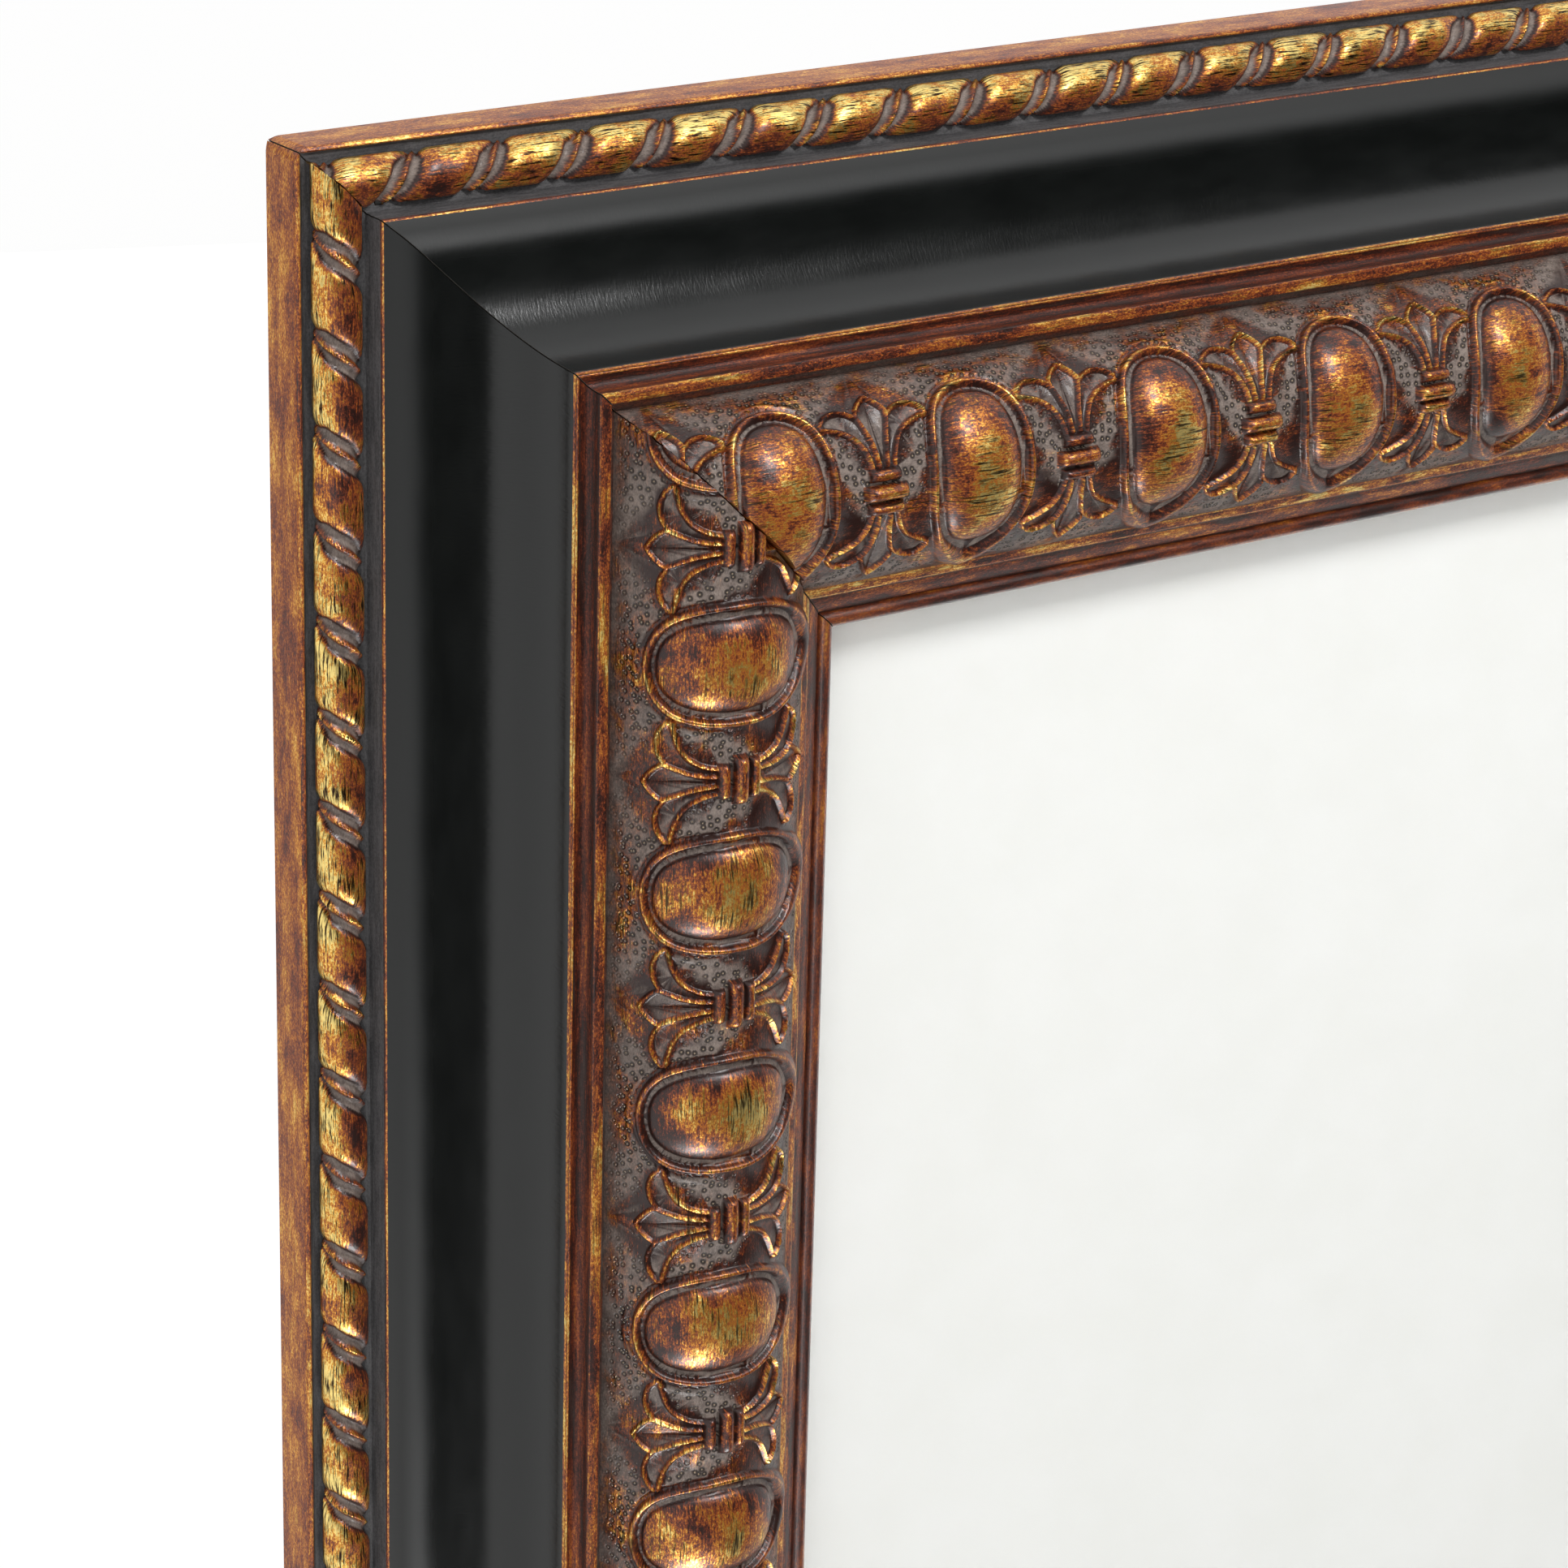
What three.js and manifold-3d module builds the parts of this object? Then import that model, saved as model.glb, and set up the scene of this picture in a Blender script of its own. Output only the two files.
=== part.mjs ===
// A wall-hung baroque picture frame: four mitred mouldings with a bead row, a black cove and an
// egg-and-dart band, a glazed rabbet closed by a back panel under turn buttons, and two ring hangers.
// Millimetres. +Z is up, the front faces -Y and the wall is the plane y = 0.
// The origin is the middle of the top moulding's back face.

import * as THREE from 'three';
import { mergeVertices } from 'three/addons/utils/BufferGeometryUtils.js';
import Module from 'manifold-3d';

// Picture and stack in the rabbet
const pictureWidth = 400;
const pictureHeight = 500;
const paneClearance = 0.8;
const paneThickness = 2;
const cardThickness = 0.6;
const panelThickness = 3;
const fitGap = 0.3;

// Moulding profile, from the outer edge to the sight edge: widths across the face
const arrisWidth = 1.2;
const arrisGrooveWidth = 0.9;
const beadWidth = 8.3;
const beadGrooveWidth = 0.6;
const coveLineWidth = 0.9;
const coveWidth = 21.9;
const ridgeWidth = 0.9;
const redCoveWidth = 2.3;
const filletWidth = 1.8;
const eggGrooveWidth = 2;
const eggBandWidth = 34.2;
const sightSlopeWidth = 6.2;
const lipRadius = 1.4;

// Moulding profile: heights towards the front
const sideHeight = 10;
const backChamfer = 1;
const arrisRise = 0.4;
const arrisGrooveDepth = 0.5;
const beadChordRise = 3.6;
const beadBulge = 3.6;
const beadGrooveDepth = 0.4;
const stepRise = 4.3;
const coveLineRise = 0.5;
const coveRise = 19.3;
const coveSwell = 9;
const coveHollow = 19.5;
const ridgeRise = 0.8;
const redCoveDepth = 0.6;
const redCoveRise = 3.2;
const filletRise = 0.6;
const eggGrooveDepth = 2.2;
const eggBandChordRise = 4.6;
const eggBandBulge = 10.2;
const sightStep = 0.5;
const sightDrop = 2.8;
const lipDepth = 6;

// Back of the moulding
const rabbetWidth = 7;
const shelfWidth = 25;
const mitreGap = 0.3;

// Bead row and egg-and-dart band
const beadPitch = 15.8;
const beadNotchWidth = 4.2;
const beadNotchSlant = 24;
const eggPitch = 39.5;
const eggWidth = 21;
const eggLength = 29;
const eggRise = 2.4;
const eggTaper = 0.22;
const dartWidth = 5;
const dartLength = 26;
const dartRise = 1.6;

// Each moulding is cut from a longer stick, so its ornament starts at its own distance from the mitre
const beadStart = { top: 2, left: 6.5, bottom: 11, right: 4.5 };
const eggStart = { top: 26.5, left: 22, bottom: 8, right: 33 };

// Corner nails: V-shaped, driven into the back across each mitre
const nailInsetOuter = 14;
const nailInsetInner = 36;
const nailReach = 8;
const nailHalfAngle = 38;
const nailThickness = 1;
const nailHeight = 12;
const nailSink = 0.5;

// Turn buttons and their screws
const buttonSpacingWide = 200;
const buttonSpacingTall = 250;
const buttonScrewInset = 9;
const buttonOverlap = 8;
const buttonTipRadius = 4;
const buttonEyeRadius = 6;
const buttonThickness = 1.5;
const screwShankRadius = 1.5;
const screwHeadRadius = 3.4;
const screwHeadHeight = 1.6;
const screwLength = 13;

// Ring hangers on the side mouldings
const hangerDrop = 130;
const strapWidth = 12;
const strapLength = 34;
const strapThickness = 1.2;
const ringWireRadius = 1.1;
const ringInnerWidth = 17;
const ringInnerHeight = 13;
const strapScrewFirst = 21;
const strapScrewPitch = 8.5;

const wasm = await Module();
wasm.setup();

// Solids for cuts and joins

function toSolid(geometry) {
  const bare = geometry.clone();
  bare.deleteAttribute('normal');
  bare.deleteAttribute('uv');
  const merged = mergeVertices(bare, 1e-4);
  const vertProperties = new Float32Array(merged.attributes.position.array);
  const triVerts = new Uint32Array(merged.index.array);
  return new wasm.Manifold(new wasm.Mesh({ numProp: 3, vertProperties, triVerts }));
}

function toGeometry(body) {
  const mesh = body.getMesh();
  const geometry = new THREE.BufferGeometry();
  geometry.setAttribute('position', new THREE.BufferAttribute(new Float32Array(mesh.vertProperties), 3));
  geometry.setIndex(new THREE.BufferAttribute(new Uint32Array(mesh.triVerts), 1));
  geometry.computeVertexNormals();
  return geometry;
}

const placed = (geometry, matrix) => toSolid(geometry.clone().applyMatrix4(matrix));

// Points of a round crown between two profile points, rising by a set amount from their chord
function crown(from, to, rise, steps) {
  const chord = to.clone().sub(from);
  const length = chord.length();
  const along = chord.clone().normalize();
  const out = new THREE.Vector2(-along.y, along.x);
  const radius = (length * length / 4 + rise * rise) / (2 * rise);
  const centre = from.clone().lerp(to, 0.5).addScaledVector(out, rise - radius);
  const halfAngle = Math.atan2(length / 2, radius - rise);
  const points = [];
  for (let step = 0; step <= steps; step += 1) {
    const angle = halfAngle * (2 * step / steps - 1);
    const point = centre.clone().addScaledVector(along, radius * Math.sin(angle));
    points.push(point.addScaledVector(out, radius * Math.cos(angle)));
  }
  return { points, centre, radius, along, out };
}

// Profile of the moulding: x is the inset from the outer edge, y the height above the wall

const insets = {};
insets.arris = arrisWidth;
insets.bead = insets.arris + arrisGrooveWidth;
insets.beadEnd = insets.bead + beadWidth;
insets.step = insets.beadEnd + beadGrooveWidth;
insets.cove = insets.step + coveLineWidth;
insets.coveEnd = insets.cove + coveWidth;
insets.redCove = insets.coveEnd + ridgeWidth;
insets.fillet = insets.redCove + redCoveWidth;
insets.filletEnd = insets.fillet + filletWidth;
insets.egg = insets.filletEnd + eggGrooveWidth;
insets.eggEnd = insets.egg + eggBandWidth;
insets.lip = insets.eggEnd + sightSlopeWidth;
const railWidth = insets.lip + 2 * lipRadius;
insets.rabbet = railWidth - rabbetWidth;
insets.shelf = insets.rabbet - shelfWidth;

const heights = {};
heights.bead = sideHeight + arrisRise - arrisGrooveDepth;
heights.beadEnd = heights.bead + beadChordRise;
heights.step = heights.beadEnd - beadGrooveDepth + stepRise;
heights.cove = heights.step + coveLineRise;
heights.coveEnd = heights.cove + coveRise;
heights.ridge = heights.coveEnd + ridgeRise;
heights.fillet = heights.ridge - redCoveDepth + redCoveRise;
heights.filletEnd = heights.fillet + filletRise;
heights.egg = heights.filletEnd - eggGrooveDepth;
heights.eggEnd = heights.egg + eggBandChordRise;
heights.sight = heights.eggEnd - sightStep;
heights.lip = heights.sight - sightDrop;
heights.lipUnder = heights.lip - lipDepth;

// The stack in the rabbet, from the lip towards the wall
const paneFront = heights.lipUnder - fitGap;
const paneBack = paneFront - paneThickness;
const cardFront = paneBack - fitGap;
const cardBack = cardFront - cardThickness;
const panelFront = cardBack - fitGap;
const panelBack = panelFront - panelThickness;
heights.shelf = panelBack;

const at = (inset, height) => new THREE.Vector2(inset, height);
const beadArc = crown(at(insets.bead, heights.bead), at(insets.beadEnd, heights.beadEnd), beadBulge, 5);
const eggArc = crown(at(insets.egg, heights.egg), at(insets.eggEnd, heights.eggEnd), eggBandBulge, 8);

function mouldingProfile() {
  const cove = new THREE.CubicBezierCurve(
    at(insets.cove, heights.cove),
    at(insets.cove + 0.1 * coveWidth, heights.cove + coveSwell),
    at(insets.coveEnd - 0.06 * coveWidth, heights.coveEnd - coveHollow),
    at(insets.coveEnd, heights.coveEnd),
  );
  const redCove = new THREE.QuadraticBezierCurve(
    at(insets.redCove, heights.ridge),
    at(insets.fillet, heights.ridge - redCoveDepth),
    at(insets.fillet, heights.fillet),
  );
  const lip = new THREE.EllipseCurve(
    insets.lip + lipRadius, heights.lip - lipRadius, lipRadius, lipRadius, Math.PI / 2, 0, true,
  );
  return [
    at(backChamfer, 0),
    at(0, backChamfer),
    at(0, sideHeight),
    at(arrisWidth / 2, sideHeight + arrisRise),
    at(insets.arris, sideHeight),
    at((insets.arris + insets.bead) / 2, sideHeight - arrisGrooveDepth),
    ...beadArc.points,
    at(insets.step - beadGrooveWidth / 2, heights.beadEnd - beadGrooveDepth),
    at(insets.step, heights.step),
    ...cove.getPoints(8),
    at(insets.coveEnd + ridgeWidth / 3, heights.ridge),
    ...redCove.getPoints(2),
    at(insets.filletEnd, heights.filletEnd),
    at(insets.filletEnd + eggGrooveWidth / 3, heights.egg),
    ...eggArc.points,
    at(insets.eggEnd, heights.sight),
    at(insets.lip, heights.lip - lipRadius / 2),
    ...lip.getPoints(3),
    at(railWidth, heights.lipUnder),
    at(insets.rabbet, heights.lipUnder),
    at(insets.rabbet, heights.shelf),
    at(insets.shelf, heights.shelf),
    at(insets.shelf, 0),
  ];
}

// Overall sizes
const outerWidth = pictureWidth + 2 * paneClearance + 2 * insets.rabbet;
const outerHeight = pictureHeight + 2 * paneClearance + 2 * insets.rabbet;
const topEdge = insets.shelf / 2;
const middle = topEdge - outerHeight / 2;
const frontReach = heights.eggEnd + eggBandBulge + eggRise + 10;

// A rail lies along X with its outer edge at z = 0 and its sight edge below, as the top rail does.
// Profile coordinates turn into rail coordinates as (along, -height, -inset).
const railPoint = (along, profile) => new THREE.Vector3(along, -profile.y, -profile.x);
const railDirection = (profile) => new THREE.Vector3(0, -profile.y, -profile.x);

function stick(length) {
  const geometry = new THREE.ExtrudeGeometry(new THREE.Shape(mouldingProfile()), {
    depth: length,
    bevelEnabled: false,
  });
  const turn = new THREE.Matrix4().makeBasis(
    new THREE.Vector3(0, 0, -1),
    new THREE.Vector3(0, -1, 0),
    new THREE.Vector3(-1, 0, 0),
  );
  return placed(geometry, turn.setPosition(length / 2, 0, 0));
}

// A low dome that bends with the egg band: an ellipsoid about the band's own centre, cut off under the surface
function bandDome(width, length, rise, taper, sides) {
  const { radius } = eggArc;
  const top = radius + rise;
  const endAngle = length / 2 / radius;
  const endHeight = radius * Math.cos(endAngle);
  const halfLength = radius * Math.sin(endAngle) / Math.sqrt(1 - (endHeight / top) ** 2);
  const halfWidth = width / 2 / Math.sqrt(1 - (radius / top) ** 2);
  const baseHeight = endHeight - fitGap;
  const baseAngle = Math.acos(baseHeight / top);
  const outline = [];
  for (let step = 0; step <= 2; step += 1) {
    const angle = baseAngle * step / 2;
    outline.push(new THREE.Vector2(Math.sin(angle), top * Math.cos(angle)));
  }
  outline.push(new THREE.Vector2(0, baseHeight));
  const geometry = new THREE.LatheGeometry(outline.reverse(), sides);
  geometry.scale(halfWidth, 1, halfLength);
  const position = geometry.attributes.position;
  for (let index = 0; index < position.count; index += 1) {
    const inward = position.getZ(index) / (length / 2);
    position.setX(index, position.getX(index) * (1 - taper * inward));
  }
  return geometry;
}

const egg = bandDome(eggWidth, eggLength, eggRise, eggTaper, 9);
const dart = bandDome(dartWidth, dartLength, dartRise, eggTaper * 2, 4);

function onEggBand(geometry, along) {
  const matrix = new THREE.Matrix4().makeBasis(
    new THREE.Vector3(1, 0, 0),
    railDirection(eggArc.out),
    railDirection(eggArc.along),
  );
  return placed(geometry, matrix.setPosition(railPoint(along, eggArc.centre)));
}

// A slanting V-notch between two beads, as deep as the bead stands above its chord
function beadNotch(along) {
  const chordMiddle = at((insets.bead + insets.beadEnd) / 2, (heights.bead + heights.beadEnd) / 2);
  const section = new THREE.Shape([
    new THREE.Vector2(0, 0),
    new THREE.Vector2(beadNotchWidth, 2 * beadBulge),
    new THREE.Vector2(-beadNotchWidth, 2 * beadBulge),
  ]);
  const reach = beadWidth;
  const geometry = new THREE.ExtrudeGeometry(section, { depth: 2 * reach, bevelEnabled: false });
  geometry.translate(0, fitGap, -reach);
  geometry.rotateY(-THREE.MathUtils.degToRad(beadNotchSlant));
  const matrix = new THREE.Matrix4().makeBasis(
    new THREE.Vector3(1, 0, 0),
    railDirection(beadArc.out),
    railDirection(beadArc.along),
  );
  return placed(geometry, matrix.setPosition(railPoint(along, chordMiddle)));
}

// The space over the bead row's chord, so that the notches leave the rest of the moulding whole
function beadRow(length) {
  const start = at(insets.bead, heights.bead);
  const end = at(insets.beadEnd, heights.beadEnd);
  const geometry = new THREE.ExtrudeGeometry(new THREE.Shape([
    start,
    start.clone().addScaledVector(beadArc.out, 2 * beadBulge),
    end.clone().addScaledVector(beadArc.out, 2 * beadBulge),
    end,
  ]), { depth: length, bevelEnabled: false });
  const turn = new THREE.Matrix4().makeBasis(
    new THREE.Vector3(0, 0, -1),
    new THREE.Vector3(0, -1, 0),
    new THREE.Vector3(-1, 0, 0),
  );
  return placed(geometry, turn.setPosition(length / 2, 0, 0));
}

// The outline that both mitres leave of a rail
function mitreBlock(length) {
  const trim = mitreGap / 2 * Math.SQRT2;
  const outer = length / 2 + 1 - trim;
  const inner = length / 2 - railWidth - 1 - trim;
  const shape = new THREE.Shape([
    new THREE.Vector2(-outer, 1),
    new THREE.Vector2(-inner, -railWidth - 1),
    new THREE.Vector2(inner, -railWidth - 1),
    new THREE.Vector2(outer, 1),
  ]);
  const geometry = new THREE.ExtrudeGeometry(shape, { depth: frontReach + 1, bevelEnabled: false });
  geometry.rotateX(Math.PI / 2);
  geometry.translate(0, 1, 0);
  return toSolid(geometry);
}

// V outline: x across the mitre, y along it towards the sight edge
function nailShape(grow) {
  const angle = THREE.MathUtils.degToRad(nailHalfAngle);
  const leg = new THREE.Vector2(Math.sin(angle), -Math.cos(angle));
  const half = nailThickness / 2 + grow;
  const reach = nailReach + grow;
  const apex = half / Math.sin(angle);
  const side = new THREE.Vector2(Math.cos(angle), Math.sin(angle)).multiplyScalar(half);
  const right = leg.clone().multiplyScalar(reach);
  return new THREE.Shape([
    new THREE.Vector2(0, apex),
    new THREE.Vector2(-right.x - side.x, right.y + side.y),
    new THREE.Vector2(-right.x + side.x, right.y - side.y),
    new THREE.Vector2(0, -apex),
    new THREE.Vector2(right.x - side.x, right.y - side.y),
    new THREE.Vector2(right.x + side.x, right.y + side.y),
  ]);
}

function nailGeometry(grow, start, end) {
  const geometry = new THREE.ExtrudeGeometry(nailShape(grow), { depth: end - start, bevelEnabled: false });
  geometry.rotateX(Math.PI / 2);
  geometry.translate(0, -start, 0);
  return geometry;
}

function nailSlots(length) {
  const slots = [];
  for (const end of [-1, 1]) {
    for (const inset of [nailInsetOuter, nailInsetInner]) {
      const slot = nailGeometry(fitGap, -1, nailSink + nailHeight + fitGap);
      slot.rotateY(-end * Math.PI * 0.75);
      slot.translate(end * (length / 2 - inset), 0, -inset);
      slots.push(toSolid(slot));
    }
  }
  return slots;
}

const buttonScrewAt = insets.rabbet - buttonScrewInset;
const strapScrewAt = (insets.rabbet + insets.shelf) / 2;

function screwHole(along, inset) {
  const depth = screwLength + fitGap;
  const geometry = new THREE.CylinderGeometry(screwShankRadius + fitGap, screwShankRadius + fitGap, depth + 1, 10);
  geometry.translate(along, 1 - heights.shelf - (depth + 1) / 2, -inset);
  return toSolid(geometry);
}

function railGeometry(length, beadOffset, eggOffset, buttonSpacing, strapHoles) {
  let body = stick(length);
  const notches = [];
  for (let along = beadOffset; along < length; along += beadPitch) {
    notches.push(beadNotch(along - length / 2));
  }
  const gaps = wasm.Manifold.union(notches).intersect(beadRow(length + 2));
  const ornament = [body];
  for (let along = eggOffset; along < length; along += eggPitch) {
    ornament.push(onEggBand(egg, along - length / 2));
  }
  for (let along = eggOffset - eggPitch / 2; along < length + eggPitch; along += eggPitch) {
    ornament.push(onEggBand(dart, along - length / 2));
  }
  body = wasm.Manifold.union(ornament).subtract(gaps).intersect(mitreBlock(length));
  const cuts = nailSlots(length);
  for (const side of [-1, 1]) {
    cuts.push(screwHole(side * buttonSpacing / 2, buttonScrewAt));
  }
  for (const along of strapHoles) {
    cuts.push(screwHole(along, strapScrewAt));
  }
  return toGeometry(body.subtract(wasm.Manifold.union(cuts)));
}

// Materials

const gildedWood = new THREE.MeshStandardMaterial({ color: 0x5a3a24, roughness: 0.45, metalness: 0.4 });
const clearGlass = new THREE.MeshStandardMaterial({ color: 0xf2f6f5, roughness: 0.05, metalness: 0 });
const whiteCard = new THREE.MeshStandardMaterial({ color: 0xf7f6f2, roughness: 0.9, metalness: 0 });
const hardboard = new THREE.MeshStandardMaterial({ color: 0x6f4c32, roughness: 0.8, metalness: 0 });
const brass = new THREE.MeshStandardMaterial({ color: 0xb08d4a, roughness: 0.35, metalness: 1 });
const steel = new THREE.MeshStandardMaterial({ color: 0xb4b4b0, roughness: 0.4, metalness: 1 });

const frame = new THREE.Group();

function addPiece(parent, name, geometry, material) {
  const mesh = new THREE.Mesh(geometry, material);
  mesh.name = name;
  parent.add(mesh);
  return mesh;
}

// Mouldings

const sideStrapTop = outerHeight / 2 - hangerDrop;
const strapScrews = [strapScrewFirst, strapScrewFirst + strapScrewPitch];
const leftStrapHoles = strapScrews.map((drop) => sideStrapTop - drop);
const rails = {
  top: { length: outerWidth, spacing: buttonSpacingWide, turn: 0, x: 0, z: topEdge, holes: [] },
  left: {
    length: outerHeight, spacing: buttonSpacingTall, turn: -Math.PI / 2,
    x: -outerWidth / 2, z: middle, holes: leftStrapHoles,
  },
  bottom: {
    length: outerWidth, spacing: buttonSpacingWide, turn: Math.PI, x: 0, z: topEdge - outerHeight, holes: [],
  },
  right: {
    length: outerHeight, spacing: buttonSpacingTall, turn: Math.PI / 2,
    x: outerWidth / 2, z: middle, holes: leftStrapHoles.map((along) => -along),
  },
};
for (const [side, rail] of Object.entries(rails)) {
  const geometry = railGeometry(rail.length, beadStart[side], eggStart[side], rail.spacing, rail.holes);
  const mesh = addPiece(frame, `rail_${side}`, geometry, gildedWood);
  mesh.position.set(rail.x, 0, rail.z);
  mesh.rotation.y = rail.turn;
}

// Corner nails

for (const [row, vertical] of [['top', 1], ['bottom', -1]]) {
  for (const [column, across] of [['left', -1], ['right', 1]]) {
    for (const [place, inset] of [['outer', nailInsetOuter], ['inner', nailInsetInner]]) {
      const geometry = nailGeometry(0, nailSink, nailSink + nailHeight);
      geometry.rotateY(Math.atan2(-across, -vertical));
      const mesh = addPiece(frame, `corner_nail_${row}_${column}_${place}`, geometry, steel);
      mesh.position.x = across * (outerWidth / 2 - inset);
      mesh.position.z = middle + vertical * (outerHeight / 2 - inset);
    }
  }
}

// Pane, card and back panel

function sheet(name, front, thickness, material) {
  const geometry = new THREE.BoxGeometry(pictureWidth, thickness, pictureHeight);
  addPiece(frame, name, geometry, material).position.set(0, -front + thickness / 2, middle);
}
sheet('glazing_pane', paneFront, paneThickness, clearGlass);
sheet('insert_card', cardFront, cardThickness, whiteCard);
sheet('back_panel', panelFront, panelThickness, hardboard);

// Screws: a domed head on a pointed shank, with the underside of the head at the origin and the tip along -Y

function screwGeometry(through) {
  const length = screwLength + through;
  const outline = [
    new THREE.Vector2(0, -length),
    new THREE.Vector2(screwShankRadius, -length + 2 * screwShankRadius),
    new THREE.Vector2(screwShankRadius, 0),
    new THREE.Vector2(screwHeadRadius, 0),
    new THREE.Vector2(screwHeadRadius * 0.75, screwHeadHeight * 0.75),
    new THREE.Vector2(0, screwHeadHeight),
  ];
  return new THREE.LatheGeometry(outline, 8);
}

// Turn buttons: a tapered plate with a round eye and a round tip that reaches over the back panel

const buttonReach = buttonScrewInset + paneClearance + buttonOverlap - buttonTipRadius;

function buttonGeometry() {
  const lean = Math.asin((buttonEyeRadius - buttonTipRadius) / buttonReach);
  const shape = new THREE.Shape();
  shape.absarc(0, 0, buttonEyeRadius, lean, Math.PI - lean, false);
  shape.absarc(0, -buttonReach, buttonTipRadius, Math.PI - lean, 2 * Math.PI + lean, false);
  shape.closePath();
  const eye = new THREE.Path();
  eye.absarc(0, 0, screwShankRadius + fitGap, 0, 2 * Math.PI, true);
  shape.holes.push(eye);
  const geometry = new THREE.ExtrudeGeometry(shape, {
    depth: buttonThickness,
    curveSegments: 5,
    bevelEnabled: false,
  });
  geometry.rotateX(Math.PI / 2);
  return geometry;
}

const button = buttonGeometry();
const buttonScrew = screwGeometry(buttonThickness + 2 * fitGap);
const ends = { top: ['left', 'right'], bottom: ['right', 'left'], left: ['lower', 'upper'], right: ['upper', 'lower'] };
for (const [side, rail] of Object.entries(rails)) {
  ends[side].forEach((end, index) => {
    const seat = new THREE.Group();
    seat.position.set(rail.x, 0, rail.z);
    seat.rotation.y = rail.turn;
    const along = (index - 0.5) * rail.spacing;
    const plate = addPiece(seat, `turn_button_${side}_${end}`, button, brass);
    plate.position.set(along, -heights.shelf + fitGap + buttonThickness, -buttonScrewAt);
    const screw = addPiece(seat, `button_screw_${side}_${end}`, buttonScrew, steel);
    screw.position.set(along, -heights.shelf + buttonThickness + 2 * fitGap, -buttonScrewAt);
    frame.add(seat);
  });
}

// Ring hangers: a strap folded to a round barrel at its upper end, and a D-shaped ring that swings in the barrel

const barrelBore = ringWireRadius + fitGap;
const barrelRadius = barrelBore + strapThickness;

function strapGeometry() {
  const shape = new THREE.Shape();
  const joint = Math.sqrt(barrelRadius ** 2 - (barrelRadius - strapThickness) ** 2);
  const start = Math.atan2(strapThickness - barrelRadius, joint);
  shape.moveTo(0, 0);
  shape.lineTo(strapLength, 0);
  shape.lineTo(strapLength, strapThickness);
  shape.lineTo(joint, strapThickness);
  shape.absarc(0, barrelRadius, barrelRadius, start, 1.5 * Math.PI, false);
  const bore = new THREE.Path();
  bore.absarc(0, barrelRadius, barrelBore, 0, 2 * Math.PI, true);
  shape.holes.push(bore);
  const geometry = new THREE.ExtrudeGeometry(shape, { depth: strapWidth, curveSegments: 8, bevelEnabled: false });
  const turn = new THREE.Matrix4().makeBasis(
    new THREE.Vector3(0, 0, -1),
    new THREE.Vector3(0, 1, 0),
    new THREE.Vector3(1, 0, 0),
  );
  let body = placed(geometry, turn.setPosition(-strapWidth / 2, 0, 0));
  for (const drop of strapScrews) {
    const hole = new THREE.CylinderGeometry(
      screwShankRadius + fitGap, screwShankRadius + fitGap, 4 * strapThickness, 10,
    );
    hole.translate(0, strapThickness / 2, -drop);
    body = body.subtract(toSolid(hole));
  }
  return toGeometry(body);
}

// A closed loop of round wire along a flat path in the plane y = 0
function wireLoop(path, radius, sides) {
  const count = path.length;
  const positions = [];
  const triangles = [];
  for (let step = 0; step < count; step += 1) {
    const before = path[(step + count - 1) % count];
    const after = path[(step + 1) % count];
    const forward = after.clone().sub(before).normalize();
    const out = new THREE.Vector2(forward.y, -forward.x);
    for (let side = 0; side < sides; side += 1) {
      const angle = 2 * Math.PI * side / sides;
      const point = path[step].clone().addScaledVector(out, radius * Math.cos(angle));
      positions.push(point.x, radius * Math.sin(angle), point.y);
      const next = (step + 1) % count * sides;
      const turned = (side + 1) % sides;
      triangles.push(step * sides + side, next + turned, next + side);
      triangles.push(step * sides + side, step * sides + turned, next + turned);
    }
  }
  const geometry = new THREE.BufferGeometry();
  geometry.setAttribute('position', new THREE.Float32BufferAttribute(positions, 3));
  geometry.setIndex(triangles);
  geometry.computeVertexNormals();
  return geometry;
}

// D-shaped path: the straight bar lies on the hinge axis, and the bow hangs below it
function ringPath() {
  const half = ringInnerWidth / 2 + ringWireRadius;
  const drop = ringInnerHeight + 2 * ringWireRadius;
  const corner = 2 * ringWireRadius;
  const points = [];
  const bow = new THREE.EllipseCurve(0, corner - drop + half, half, half, Math.PI, 2 * Math.PI, false);
  points.push(new THREE.Vector2(half - corner, 0));
  points.push(new THREE.Vector2(strapWidth / 4, 0));
  points.push(new THREE.Vector2(-strapWidth / 4, 0));
  points.push(new THREE.Vector2(-half + corner, 0));
  points.push(new THREE.Vector2(-half + corner * 0.3, -corner * 0.3));
  points.push(new THREE.Vector2(-half, -corner));
  points.push(...bow.getPoints(10).map((point) => new THREE.Vector2(point.x, point.y - corner)));
  points.push(new THREE.Vector2(half, -corner));
  points.push(new THREE.Vector2(half - corner * 0.3, -corner * 0.3));
  return points;
}

const strap = strapGeometry();
const ring = wireLoop(ringPath(), ringWireRadius, 6);
const strapScrew = screwGeometry(strapThickness + 2 * fitGap);
const strapTop = topEdge - hangerDrop;
for (const [side, across] of [['left', -1], ['right', 1]]) {
  const hanger = new THREE.Group();
  hanger.position.set(across * (outerWidth / 2 - strapScrewAt), -heights.shelf + fitGap, strapTop);
  addPiece(hanger, `hanger_strap_${side}`, strap, brass);
  addPiece(hanger, `hanger_ring_${side}`, ring, brass).position.y = barrelRadius;
  ['upper', 'lower'].forEach((place, index) => {
    const screw = addPiece(hanger, `hanger_screw_${side}_${place}`, strapScrew, steel);
    screw.position.set(0, strapThickness + fitGap, -strapScrews[index]);
  });
  frame.add(hanger);
}

export default frame;
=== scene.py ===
import math
import bpy
import bmesh
import numpy as np
from mathutils import Matrix, Vector


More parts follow.
